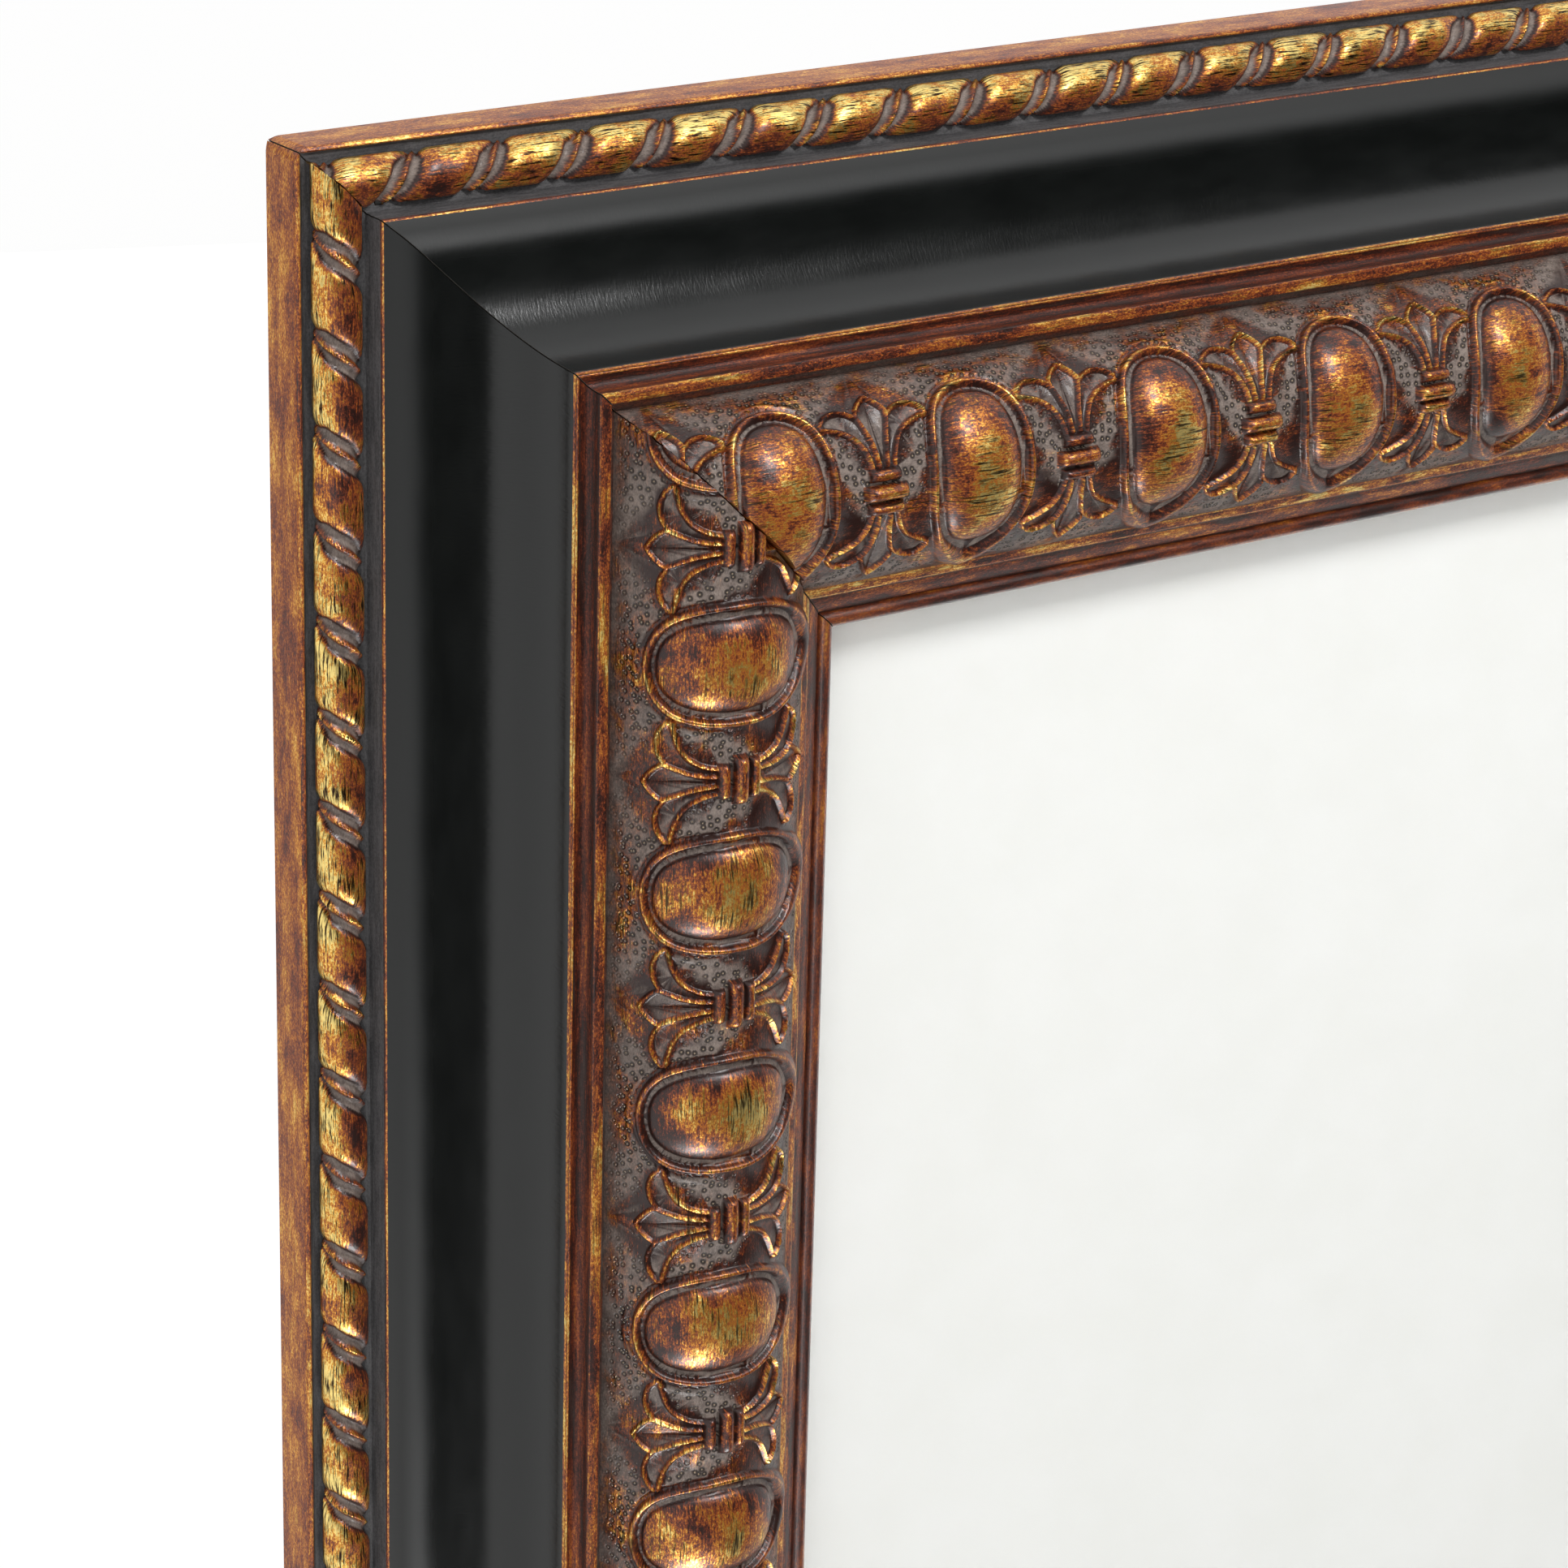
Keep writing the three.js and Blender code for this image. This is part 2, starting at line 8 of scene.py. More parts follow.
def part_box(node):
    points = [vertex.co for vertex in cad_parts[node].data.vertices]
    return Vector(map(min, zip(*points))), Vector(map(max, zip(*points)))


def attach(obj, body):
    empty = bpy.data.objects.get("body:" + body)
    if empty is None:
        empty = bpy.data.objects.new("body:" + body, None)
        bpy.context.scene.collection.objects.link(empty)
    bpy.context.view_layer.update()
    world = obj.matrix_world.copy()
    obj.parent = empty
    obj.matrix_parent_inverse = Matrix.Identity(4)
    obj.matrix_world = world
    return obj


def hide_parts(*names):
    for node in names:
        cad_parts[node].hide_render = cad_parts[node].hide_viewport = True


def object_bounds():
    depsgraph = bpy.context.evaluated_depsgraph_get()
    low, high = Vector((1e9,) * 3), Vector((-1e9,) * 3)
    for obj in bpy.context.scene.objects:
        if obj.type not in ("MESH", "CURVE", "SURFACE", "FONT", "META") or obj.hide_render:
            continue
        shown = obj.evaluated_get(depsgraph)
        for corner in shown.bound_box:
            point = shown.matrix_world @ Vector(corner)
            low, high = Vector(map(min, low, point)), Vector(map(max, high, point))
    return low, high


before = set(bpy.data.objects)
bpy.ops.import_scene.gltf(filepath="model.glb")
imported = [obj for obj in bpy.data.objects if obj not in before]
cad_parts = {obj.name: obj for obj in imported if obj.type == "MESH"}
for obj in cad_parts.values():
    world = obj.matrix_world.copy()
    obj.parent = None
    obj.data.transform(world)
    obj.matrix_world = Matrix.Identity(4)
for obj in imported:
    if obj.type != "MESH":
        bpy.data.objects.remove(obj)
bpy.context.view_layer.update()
print("frame loaded:", len(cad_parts), "nodes")

mm = 0.001
outer = {"width": 555.6, "height": 655.6, "top": 26.0}  # outer edge of the mouldings
outer["middle"] = outer["top"] - outer["height"] / 2


def deselectAll():
    if bpy.context.mode != "OBJECT":
        bpy.ops.object.mode_set(mode="OBJECT")
    bpy.ops.object.select_all(action="DESELECT")


def makeActive(piece):
    deselectAll()
    piece.select_set(True)
    bpy.context.view_layer.objects.active = piece


def editMode(piece):
    makeActive(piece)
    bpy.ops.object.mode_set(mode="EDIT")


# selects, in edit mode, what passes a test
def pick(piece, kind, test):
    bpy.ops.mesh.select_mode(type=kind)
    bpy.ops.mesh.select_all(action="DESELECT")
    edit = bmesh.from_edit_mesh(piece.data)
    edit.normal_update()
    for item in {"VERT": edit.verts, "EDGE": edit.edges, "FACE": edit.faces}[kind]:
        item.select = test(item)
    bmesh.update_edit_mesh(piece.data)


def pickAll():
    bpy.ops.mesh.select_all(action="SELECT")


def pull(x, y, z):
    bpy.ops.mesh.extrude_region_move(TRANSFORM_OT_translate={"value": (x * mm, y * mm, z * mm)})


def outwards():
    pickAll()
    bpy.ops.mesh.normals_make_consistent(inside=False)
    bpy.ops.object.mode_set(mode="OBJECT")


# leaves an object's place in its mesh
def settle():
    bpy.ops.object.transform_apply(location=True, rotation=True, scale=True)


def smoothBelow(degrees):
    bpy.ops.object.shade_smooth_by_angle(angle=math.radians(degrees))


def applyModifier(piece, modifier):
    makeActive(piece)
    bpy.ops.object.modifier_apply(modifier=modifier.name)


def addCube(middle, size, tilt=0.0):
    deselectAll()
    bpy.ops.mesh.primitive_cube_add(size=1, location=middle, rotation=(0, tilt, 0), scale=size)
    return bpy.context.object


def cutAway(piece, cutter):
    cut = piece.modifiers.new("cut", "BOOLEAN")
    cut.object = cutter
    applyModifier(piece, cut)
    bpy.data.objects.remove(cutter)
    makeActive(piece)


def curvePiece(name, points, wire=0.0):
    drawn = bpy.data.curves.new(name, "CURVE")
    drawn.dimensions = "3D"
    drawn.bevel_depth = wire * mm
    drawn.bevel_resolution = 5
    line = drawn.splines.new("POLY")
    line.points.add(len(points) - 1)
    for point, place in zip(line.points, points):
        point.co = (*(value * mm for value in place), 1)
    line.use_cyclic_u = True
    piece = bpy.data.objects.new(name, drawn)
    bpy.context.collection.objects.link(piece)
    makeActive(piece)
    bpy.ops.object.convert(target="MESH")
    return bpy.context.object


def readPoints(mesh):
    points = np.empty(len(mesh.vertices) * 3, dtype=np.float32)
    mesh.vertices.foreach_get("co", points)
    return points.reshape(-1, 3).astype(float)


def writePoints(mesh, points):
    mesh.vertices.foreach_set("co", np.asarray(points, dtype=np.float32).ravel())
    mesh.update()


# camera, at the photograph's place and angle

camera = {
    "place": (-0.63991, -0.65618, 0.19976),
    "right": (0.82097, -0.57043, 0.02484),
    "up": (0.18142, 0.30186, 0.93593),
    "lens": 111.642,
}

deselectAll()
bpy.ops.object.camera_add()
shot = bpy.context.object
shot.name = "shot"
right, up = Vector(camera["right"]), Vector(camera["up"])
back = right.cross(up)
turned = Matrix((right, up, back)).transposed().to_4x4()
shot.matrix_world = Matrix.Translation(camera["place"]) @ turned
shot.data.lens = camera["lens"]
shot.data.sensor_width = 36
shot.data.clip_start = 0.01
bpy.context.scene.camera = shot
bpy.context.scene.view_settings.view_transform = "Standard"
print("camera set")


# node helpers for the finishes

def paint(red, green, blue):
    shades = []
    for level in (red, green, blue):
        level /= 255
        shades.append(level / 12.92 if level <= 0.04045 else ((level + 0.055) / 1.055) ** 2.4)
    return (*shades, 1.0)


def startFinish(name):
    finish = bpy.data.materials.new(name)
    finish.use_nodes = True
    tree = finish.node_tree
    return finish, tree, tree.nodes["Principled BSDF"]


def feed(tree, source, socket):
    if isinstance(source, bpy.types.NodeSocket):
        tree.links.new(source, socket)
    else:
        socket.default_value = source


def addMath(tree, operation, first, second=0.0):
    node = tree.nodes.new("ShaderNodeMath")
    node.operation = operation
    feed(tree, first, node.inputs[0])
    feed(tree, second, node.inputs[1])
    return node.outputs[0]


def addSum(tree, first, second):
    return addMath(tree, "ADD", first, second)


def addProduct(tree, first, second):
    return addMath(tree, "MULTIPLY", first, second)


def addVector(tree, operation, first, second=(0, 0, 0)):
    node = tree.nodes.new("ShaderNodeVectorMath")
    node.operation = operation
    feed(tree, first, node.inputs[0])
    feed(tree, second, node.inputs[1])
    return node.outputs[0]


def addSplit(tree, vector):
    node = tree.nodes.new("ShaderNodeSeparateXYZ")
    feed(tree, vector, node.inputs[0])
    return node.outputs


def addMix(tree, factor, first, second):
    node = tree.nodes.new("ShaderNodeMix")
    node.data_type = "RGBA"
    feed(tree, factor, node.inputs[0])
    feed(tree, first, node.inputs[6])
    feed(tree, second, node.inputs[7])
    return node.outputs[2]


def addRamp(tree, value, low, high, start=0.0, end=1.0):
    node = tree.nodes.new("ShaderNodeMapRange")
    node.interpolation_type = "SMOOTHSTEP"
    feed(tree, value, node.inputs[0])
    for index, limit in enumerate((low, high, start, end)):
        feed(tree, limit, node.inputs[index + 1])
    return node.outputs[0]


def dress(tree, shader, sockets):
    for name, value in sockets.items():
        feed(tree, value, shader.inputs[name])


def addUv(tree):
    return tree.nodes.new("ShaderNodeUVMap").outputs[0]


def addPlace(tree):
    return tree.nodes.new("ShaderNodeTexCoord").outputs["Object"]


# a number, or the mesh's own values of that name
def addAmount(tree, amount):
    if not isinstance(amount, str):
        return amount
    node = tree.nodes.new("ShaderNodeAttribute")
    node.attribute_name = amount
    return node.outputs["Fac"]


# noise whose grain is so many millimetres along the rail and across it
def addNoise(tree, vector, along, across, detail=4, roughness=0.6, shift=0.0):
    spread = tree.nodes.new("ShaderNodeMapping")
    dress(tree, spread, {
        "Scale": (1000 / along, 1000 / across, 1000 / along),
        "Location": (shift, shift * 0.7, shift * 0.4), "Vector": vector,
    })
    node = tree.nodes.new("ShaderNodeTexNoise")
    dress(tree, node, {"Scale": 1.0, "Detail": detail, "Roughness": roughness, "Vector": spread.outputs[0]})
    return node.outputs["Fac"]


def addBump(tree, height, depth, strength=1.0, under=None):
    node = tree.nodes.new("ShaderNodeBump")
    dress(tree, node, {"Strength": strength, "Distance": depth * mm, "Height": height})
    if under is not None:
        feed(tree, under, node.inputs["Normal"])
    return node.outputs[0]


# gilding: metal leaf rubbed back to red and brown, with a grey wash in the hollows

gilding = {
    "leaf": (
        (0.0, paint(40, 19, 14)), (0.25, paint(92, 38, 20)), (0.45, paint(142, 68, 30)),
        (0.65, paint(200, 122, 46)), (0.85, paint(242, 184, 82)), (1.0, paint(255, 226, 140)),
    ),
    "smoke": paint(46, 26, 18),
    "wash": paint(138, 124, 115), "darkWash": paint(94, 82, 76),
    # painted shade for the stipple pits, and a painted highlight for their centres
    "pit": paint(38, 28, 24), "glint": paint(196, 174, 146),
    # painted shade for the grooves
    "grooveShade": (paint(50, 49, 50), paint(84, 82, 83)),
    "cloud": (7.0, 5.0), "grain": (2.2, 1.8), "fleck": (0.5, 0.28), "brush": 0.34,  # mm along and across
    "cloudShare": 1.5, "grainShare": 0.6, "lineEdge": (0.46, 0.6), "bareEdge": 0.14,
    "washEdge": (0.2, 0.8), "greyEdge": (0.75, 1.25), "metalEdge": (0.3, 0.9), "leastMetal": 0.1,
    "relief": 0.16, "rough": (0.34, 0.7), "coatRough": 0.12,
    "dotRelief": 0.3, "pitEdge": (0.22, 0.4), "glintEdge": (0.06, 0.16),
}


def addLeaf(tree, value):
    node = tree.nodes.new("ShaderNodeValToRGB")
    stops = node.color_ramp.elements
    while len(stops) < len(gilding["leaf"]):
        stops.new(0.5)
    for stop, (place, shade) in zip(stops, gilding["leaf"]):
        stop.position = place
        stop.color = shade
    tree.links.new(value, node.inputs[0])
    return node.outputs[0]


# noise about its middle
def addScaled(tree, value, factor):
    return addProduct(tree, addMath(tree, "SUBTRACT", value, 0.5), factor)


# drawn stretches the pattern along a moulding, as a brush leaves it
def gildedFinish(
    name, goldFrom, washFrom, streak=0.6, mottle=1.0, drawn=1.0, stipple=None,
    speckle=1.0, stria=0.9, metal=0.6, coat=0.25, gloss=0.5, bare=0.42, stroke=6.0, greys=None,
):
    finish, tree, shader = startFinish(name)
    uv = addUv(tree)
    cloudLong, cloudWide = gilding["cloud"]
    grainLong, grainWide = gilding["grain"]
    cloud = addNoise(tree, uv, cloudLong * drawn, cloudWide / drawn, 3, 0.55, 3.7)
    grain = addNoise(tree, uv, grainLong * drawn, grainWide / drawn, 4, 0.65, 6.3)
    fleck = addNoise(tree, uv, *gilding["fleck"], 3, 0.7, 9.1)
    brush = addNoise(tree, uv, stroke, gilding["brush"], 3, 0.65)
    gold, wash = addAmount(tree, goldFrom), addAmount(tree, washFrom)
    # how much leaf is left: from the carving, whose values also carry painted shade beside its ridges and
    # rims, in patches, in flecks and in strokes of the brush
    patches = addScaled(tree, cloud, mottle * gilding["cloudShare"])
    uneven = addSum(tree, patches, addScaled(tree, grain, mottle * gilding["grainShare"]))
    rubbed = addSum(tree, addScaled(tree, fleck, speckle), addScaled(tree, brush, stria))
    tone = addSum(tree, addSum(tree, gold, uneven), rubbed)
    colour = addLeaf(tree, tone)
    worn = addRamp(tree, cloud, bare, bare + gilding["bareEdge"])
    lines = addProduct(tree, addRamp(tree, brush, *gilding["lineEdge"]), worn)
    colour = addMix(tree, addProduct(tree, lines, streak), colour, gilding["smoke"])
    washed = addMath(tree, "SUBTRACT", wash, addProduct(tree, uneven, 0.4))
    washMask = addRamp(tree, washed, *gilding["washEdge"])
    dark, pale = greys or (gilding["darkWash"], gilding["wash"])
    grey = addMix(tree, addRamp(tree, addSum(tree, grain, fleck), *gilding["greyEdge"]), dark, pale)
    colour = addMix(tree, washMask, colour, grey)
    height = addSum(tree, addProduct(tree, grain, 0.5), addProduct(tree, fleck, 0.5))
    height = addSum(tree, addProduct(tree, brush, 0.3), height)
    normal = addBump(tree, height, gilding["relief"], 0.7)
    if stipple is not None:
        dots = tree.nodes.new("ShaderNodeTexVoronoi")
        dots.voronoi_dimensions = "2D"
        dress(tree, dots, {"Scale": 1000 / stipple, "Randomness": 0.8, "Vector": uv})
        away = dots.outputs["Distance"]
        where = addAmount(tree, "stipple")
        pit = addProduct(tree, addRamp(tree, away, *gilding["pitEdge"], 1.0, 0.0), where)
        glint = addProduct(tree, addRamp(tree, away, *gilding["glintEdge"], 1.0, 0.0), where)
        # painted shade in each stipple pit and a painted highlight at its centre, over a real dent
        colour = addMix(tree, addProduct(tree, pit, 0.9), colour, gilding["pit"])
        colour = addMix(tree, addProduct(tree, glint, 0.6), colour, gilding["glint"])
        normal = addBump(tree, addMath(tree, "SUBTRACT", glint, pit), gilding["dotRelief"], 1.0, normal)
    plain = addMath(tree, "SUBTRACT", 1.0, washMask)
    bright = addRamp(tree, tone, *gilding["metalEdge"], gilding["leastMetal"], metal)
    dress(tree, shader, {
        "Base Color": colour, "Normal": normal,
        "Metallic": addProduct(tree, bright, plain),
        "Roughness": addRamp(tree, washMask, 0.0, 1.0, *gilding["rough"]),
        "Specular IOR Level": gloss, "Coat Weight": coat, "Coat Roughness": gilding["coatRough"],
    })
    return finish


# duller outside the bend, which lies so many millimetres round the outline
black = {"dull": 0.6, "satin": 0.23, "bend": (30.2, 36.2), "peel": 0.05}


def blackFinish():
    finish, tree, shader = startFinish("satinBlack")
    uv = addUv(tree)
    cloud = addNoise(tree, uv, 14.0, 5.0, 3, 0.55)
    peel = addNoise(tree, uv, 0.4, 1.5, 2, 0.5, 5.0)
    start, end = black["bend"]
    rough = addRamp(tree, addSplit(tree, uv)["Y"], start * mm, end * mm, black["dull"], black["satin"])
    dress(tree, shader, {
        "Base Color": addMix(tree, addRamp(tree, cloud, 0.3, 0.7), paint(9, 11, 10), paint(14, 16, 15)),
        "Roughness": addSum(tree, rough, addScaled(tree, cloud, 0.1)),
        "Normal": addBump(tree, peel, black["peel"], 0.5),
    })
    return finish


# grey filler in the corner joints
def fillerFinish():
    finish, tree, shader = startFinish("jointFiller")
    grit = addNoise(tree, addUv(tree), 1.5, 0.8, 3, 0.6)
    dress(tree, shader, {
        "Base Color": addMix(tree, grit, paint(88, 84, 80), paint(128, 123, 117)),
        "Roughness": addRamp(tree, grit, 0.3, 0.7, 0.7, 0.85),
    })
    return finish


def woodFinish():
    finish, tree, shader = startFinish("bareWood")
    uv = addUv(tree)
    grain = addNoise(tree, uv, 120.0, 1.5, 5, 0.6)
    pore = addNoise(tree, uv, 18.0, 0.35, 3, 0.7, 4.0)
    shade = addMix(tree, addRamp(tree, grain, 0.3, 0.7), paint(168, 126, 84), paint(206, 168, 120))
    dress(tree, shader, {
        "Base Color": addMix(tree, addRamp(tree, pore, 0.58, 0.75, 0.0, 0.5), shade, paint(120, 82, 50)),
        "Roughness": addRamp(tree, grain, 0.2, 0.8, 0.7, 0.55),
        "Normal": addBump(tree, pore, 0.12, 0.5),
    })
    return finish


finishes = {
    "side": gildedFinish("giltSide", 0.51, 0.0, 0.25, 0.7, 1.5, speckle=1.2, stria=0.5, coat=0.0, gloss=0.3),
    "arris": gildedFinish("giltArris", 0.5, 0.0, 0.4, 1.2, 2.0, speckle=1.7),
    # grooves: painted shade, dark grey with no gold
    "groove": gildedFinish("darkGroove", -0.5, 0.9, 0.3, 0.5, 3.0, coat=0.0, greys=gilding["grooveShade"]),
    "seam": gildedFinish("brownSeam", 0.05, 0.4, 0.5, 1.0, 2.0, coat=0.0),
    "line": gildedFinish("giltLine", 0.56, 0.0, 0.4, 1.0, 2.0, speckle=1.7),
    "black": blackFinish(),
    "red": gildedFinish("redCove", 0.14, 0.2, 0.5, 1.0, 3.0, coat=0.05, gloss=0.3),
    "fillet": gildedFinish("giltFillet", 0.43, 0.0, 0.7, 1.4, 2.0, speckle=1.7, stria=0.4, coat=0.05),
    "sight": gildedFinish("sightEdge", 0.5, 0.0, 0.6, 1.9, 1.4, speckle=1.7, stria=0.2, coat=0.05, gloss=0.3),
    "flat": gildedFinish("sightFlat", 0.24, 0.2, 0.4, 1.4, 1.6, speckle=1.4, stria=0.2, coat=0.15),
    "lip": gildedFinish("sightLip", 0.3, 0.0, 0.4, 1.2, 2.0, stria=0.2, coat=1.0, gloss=1.0),
    "wood": woodFinish(),
    "filler": fillerFinish(),
    "egg": gildedFinish(
        "eggAndDart", "goldRubAndShade", "greyWash", 0.95, 1.6, stipple=1.5,
        speckle=1.9, stria=1.4, metal=0.85, coat=0.09, bare=0.44,
    ),
    "bead": gildedFinish(
        "beadRow", "goldRubAndShade", "greyWash", 1.0, 1.6,
        speckle=1.7, stria=1.6, metal=0.95, coat=0.12, bare=0.4, stroke=4.0,
    ),
}
print("finishes made:", len(finishes))


# mouldings: where each rail lies, and where its ornament starts, from its own left end

rails = {
    "top": {"length": outer["width"], "turn": 0, "x": 0, "z": outer["top"], "egg": 65.2, "bead": 17.3},
    "left": {
        "length": outer["height"], "turn": -90, "x": -outer["width"] / 2, "z": outer["middle"],
        "egg": outer["height"] - 42.5, "bead": outer["height"] - 17.0,
    },
    "bottom": {
        "length": outer["width"], "turn": 180, "x": 0, "z": outer["top"] - outer["height"],
        "egg": 8.0, "bead": 11.0,
    },
    "right": {
        "length": outer["height"], "turn": 90, "x": outer["width"] / 2, "z": outer["middle"],
        "egg": 33.0, "bead": 4.5,
    },
}
mitre = {
    "gap": 0.24, "slope": 0.70711, "tip": 2.6, "tipCuts": (14, 29, 44),
    "nails": (14, 36), "nailTilt": 7, "nailReach": 8.3, "nailStart": 0.8, "nailSlot": 1.6, "nailDepth": 12.8,
}


def crownArc(start, end, rise):
    start, end = np.array(start), np.array(end)
    chord = np.linalg.norm(end - start)
    along = (end - start) / chord
    out = np.array((-along[1], along[0]))
    radius = (chord * chord / 4 + rise * rise) / (2 * rise)
    half = math.atan2(chord / 2, radius - rise)
    return {
        "centre": (start + end) / 2 + out * (rise - radius), "radius": radius,
        "along": along, "out": out, "half": half, "length": 2 * radius * half,
    }


# inset and height of points that lie so far round an arc, and so high above it
def onArc(arc, round, rise):
    angle = round / arc["radius"] - arc["half"]
    reach = arc["radius"] + rise
    place = arc["centre"] + np.outer(reach * np.sin(angle), arc["along"])
    place = place + np.outer(reach * np.cos(angle), arc["out"])
    return place[:, 0], place[:, 1]


beadArc = crownArc((2.1, 9.9), (10.4, 13.5), 3.6)
eggArc = crownArc((40.8, 39.0), (75.0, 43.6), 10.2)

carcass = {  # points of the outline as inset, height and the finish from here on; curves by their controls
    "outer": (
        (1.0, 0.0, "side"), (0.0, 1.0, "side"), (0.0, 9.5, "side"),
        (0.08, 9.85, "arris"), (0.3, 10.2, "arris"), (0.6, 10.35, "arris"),
        (0.85, 10.2, "groove"), (1.1, 9.8, "groove"), (1.5, 9.5, "groove"), (2.2, 9.45, "groove"),
        (10.4, 13.0, "groove"), (10.75, 13.1, "groove"), (10.95, 13.5, "groove"),
        (11.02, 17.3, "red"), (11.18, 17.55, "line"), (11.42, 17.72, "black"),
    ),
    "bend": ((12.9, 19.4), (14.3, 21.0), (16.8, 21.6)),
    "cove": ((16.8, 21.6), (22.2, 22.9), (32.2, 24.2), (33.8, 37.2)),
    "lines": (
        (33.93, 37.62, "line"), (34.1, 37.95, "line"), (34.28, 37.97, "groove"),
        (34.42, 37.86, "line"), (34.56, 37.98, "line"),
    ),
    "redCove": ((34.75, 37.95), (37.0, 37.4), (37.0, 40.6)),
    "inner": (
        (37.12, 40.86, "fillet"), (37.4, 40.97, "fillet"), (38.6, 41.17, "fillet"), (38.86, 41.1, "fillet"),
        (38.98, 40.8, "seam"), (39.3, 39.3, "seam"), (39.6, 38.95, "seam"), (40.8, 38.7, "seam"),
        (74.9, 42.5, "seam"), (75.0, 43.0, "line"), (75.2, 43.2, "line"),
        (75.5, 43.1, "sight"), (76.75, 42.5, "sight"), (76.95, 42.4, "line"), (77.2, 42.2, "line"),
        (77.3, 41.85, "seam"), (77.6, 41.75, "flat"), (78.0, 41.65, "flat"), (80.5, 40.0, "flat"),
        (80.8, 39.3, "seam"),
    ),
    "lipCentre": (82.5, 38.8), "lipRadius": 1.5, "lipTurn": 165,
    "back": (
        (84.0, 34.3, "wood"), (77.0, 34.3, "wood"), (77.0, 27.8, "wood"),
        (52.0, 27.8, "wood"), (52.0, 0.0, "wood"),
    ),
    "bendSteps": 16, "coveSteps": 40, "redSteps": 10, "lipSteps": 12,
}


def bezier(points, steps):
    order = len(points) - 1
    drawn = []
    for step in range(steps + 1):
        t = step / steps
        weights = [math.comb(order, i) * (1 - t) ** (order - i) * t ** i for i in range(order + 1)]
        drawn.append(tuple(sum(w * p[axis] for w, p in zip(weights, points)) for axis in (0, 1)))
    return drawn


def carcassOutline():
    outline = list(carcass["outer"])
    curve = bezier(carcass["bend"], carcass["bendSteps"])[:-1] + bezier(carcass["cove"], carcass["coveSteps"])
    outline += [(x, y, "black") for x, y in curve]
    outline += carcass["lines"]
    *hollow, edge = bezier(carcass["redCove"], carcass["redSteps"])
    outline += [(x, y, "red") for x, y in hollow] + [(*edge, "fillet")]
    outline += carcass["inner"]
    x, y = carcass["lipCentre"]
    radius, turn = carcass["lipRadius"], carcass["lipTurn"]
    for step in range(carcass["lipSteps"] + 1):
        angle = math.radians(turn - turn * step / carcass["lipSteps"])
        outline.append((x + radius * math.cos(angle), y + radius * math.sin(angle), "lip"))
    return outline + list(carcass["back"])


def cutMitres(piece, length):
    trim = mitre["gap"] / 2 * math.sqrt(2)
    slope = mitre["slope"]
    editMode(piece)
    for end in (-1, 1):
        pickAll()
        bpy.ops.mesh.bisect(
            plane_co=(end * (length / 2 - trim) * mm, 0, 0), plane_no=(-end * slope, 0, slope),
            use_fill=False, clear_inner=True,
        )
    bpy.ops.object.mode_set(mode="OBJECT")


# wears the outer tips of a closed stick round
def roundTips(piece, length):
    editMode(piece)
    tip = mitre["tip"]
    for end in (-1, 1):
        for degrees in mitre["tipCuts"]:
            angle = math.radians(degrees)
            out = Vector((end * math.sin(angle), 0, math.cos(angle)))
            spot = Vector((end * (length / 2 - tip), 0, -tip)) + out * tip
            pickAll()
            bpy.ops.mesh.bisect(plane_co=spot * mm, plane_no=out, use_fill=True, clear_outer=True)
    bpy.ops.object.mode_set(mode="OBJECT")


# slots in the back for one leg of each corner nail
def cutSlots(piece, length, wood):
    cutters = []
    reach, start = mitre["nailReach"], mitre["nailStart"]
    for end in (-1, 1):
        for inset in mitre["nails"]:
            tilt = math.radians(mitre["nailTilt"]) * end
            apex = Vector((end * (length / 2 - inset), (1 - mitre["nailDepth"]) / 2, -inset))
            middle = apex + Vector((math.sin(tilt), 0, math.cos(tilt))) * (reach - start) / 2
            size = Vector((mitre["nailSlot"], mitre["nailDepth"] + 1, reach + start))
            cutters.append(addCube(middle * mm, size * mm, tilt))
    for cutter in cutters:
        cutter.select_set(True)
    bpy.ops.object.join()
    cutter = bpy.context.object
    for slot in piece.material_slots:
        cutter.data.materials.append(slot.material)
    for face in cutter.data.polygons:
        face.material_index = wood
    cutAway(piece, cutter)


# turns a finished stick into its side of the frame
def setRail(piece, side):
    rail = rails[side]
    makeActive(piece)
    piece.rotation_euler = (0, math.radians(rail["turn"]), 0)
    piece.location = (rail["x"] * mm, 0, rail["z"] * mm)
    settle()
    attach(piece, "frame")


def closeRim(piece, height):
    editMode(piece)
    pick(piece, "EDGE", lambda edge: edge.is_boundary)
    bpy.ops.mesh.extrude_edges_move(TRANSFORM_OT_translate={"value": (0, 2 * mm, 0)})
    edit = bmesh.from_edit_mesh(piece.data)
    for vertex in edit.verts:
        if vertex.select:
            vertex.co.y = -height * mm
    bmesh.update_edit_mesh(piece.data)
    bpy.ops.mesh.edge_face_add()
    outwards()


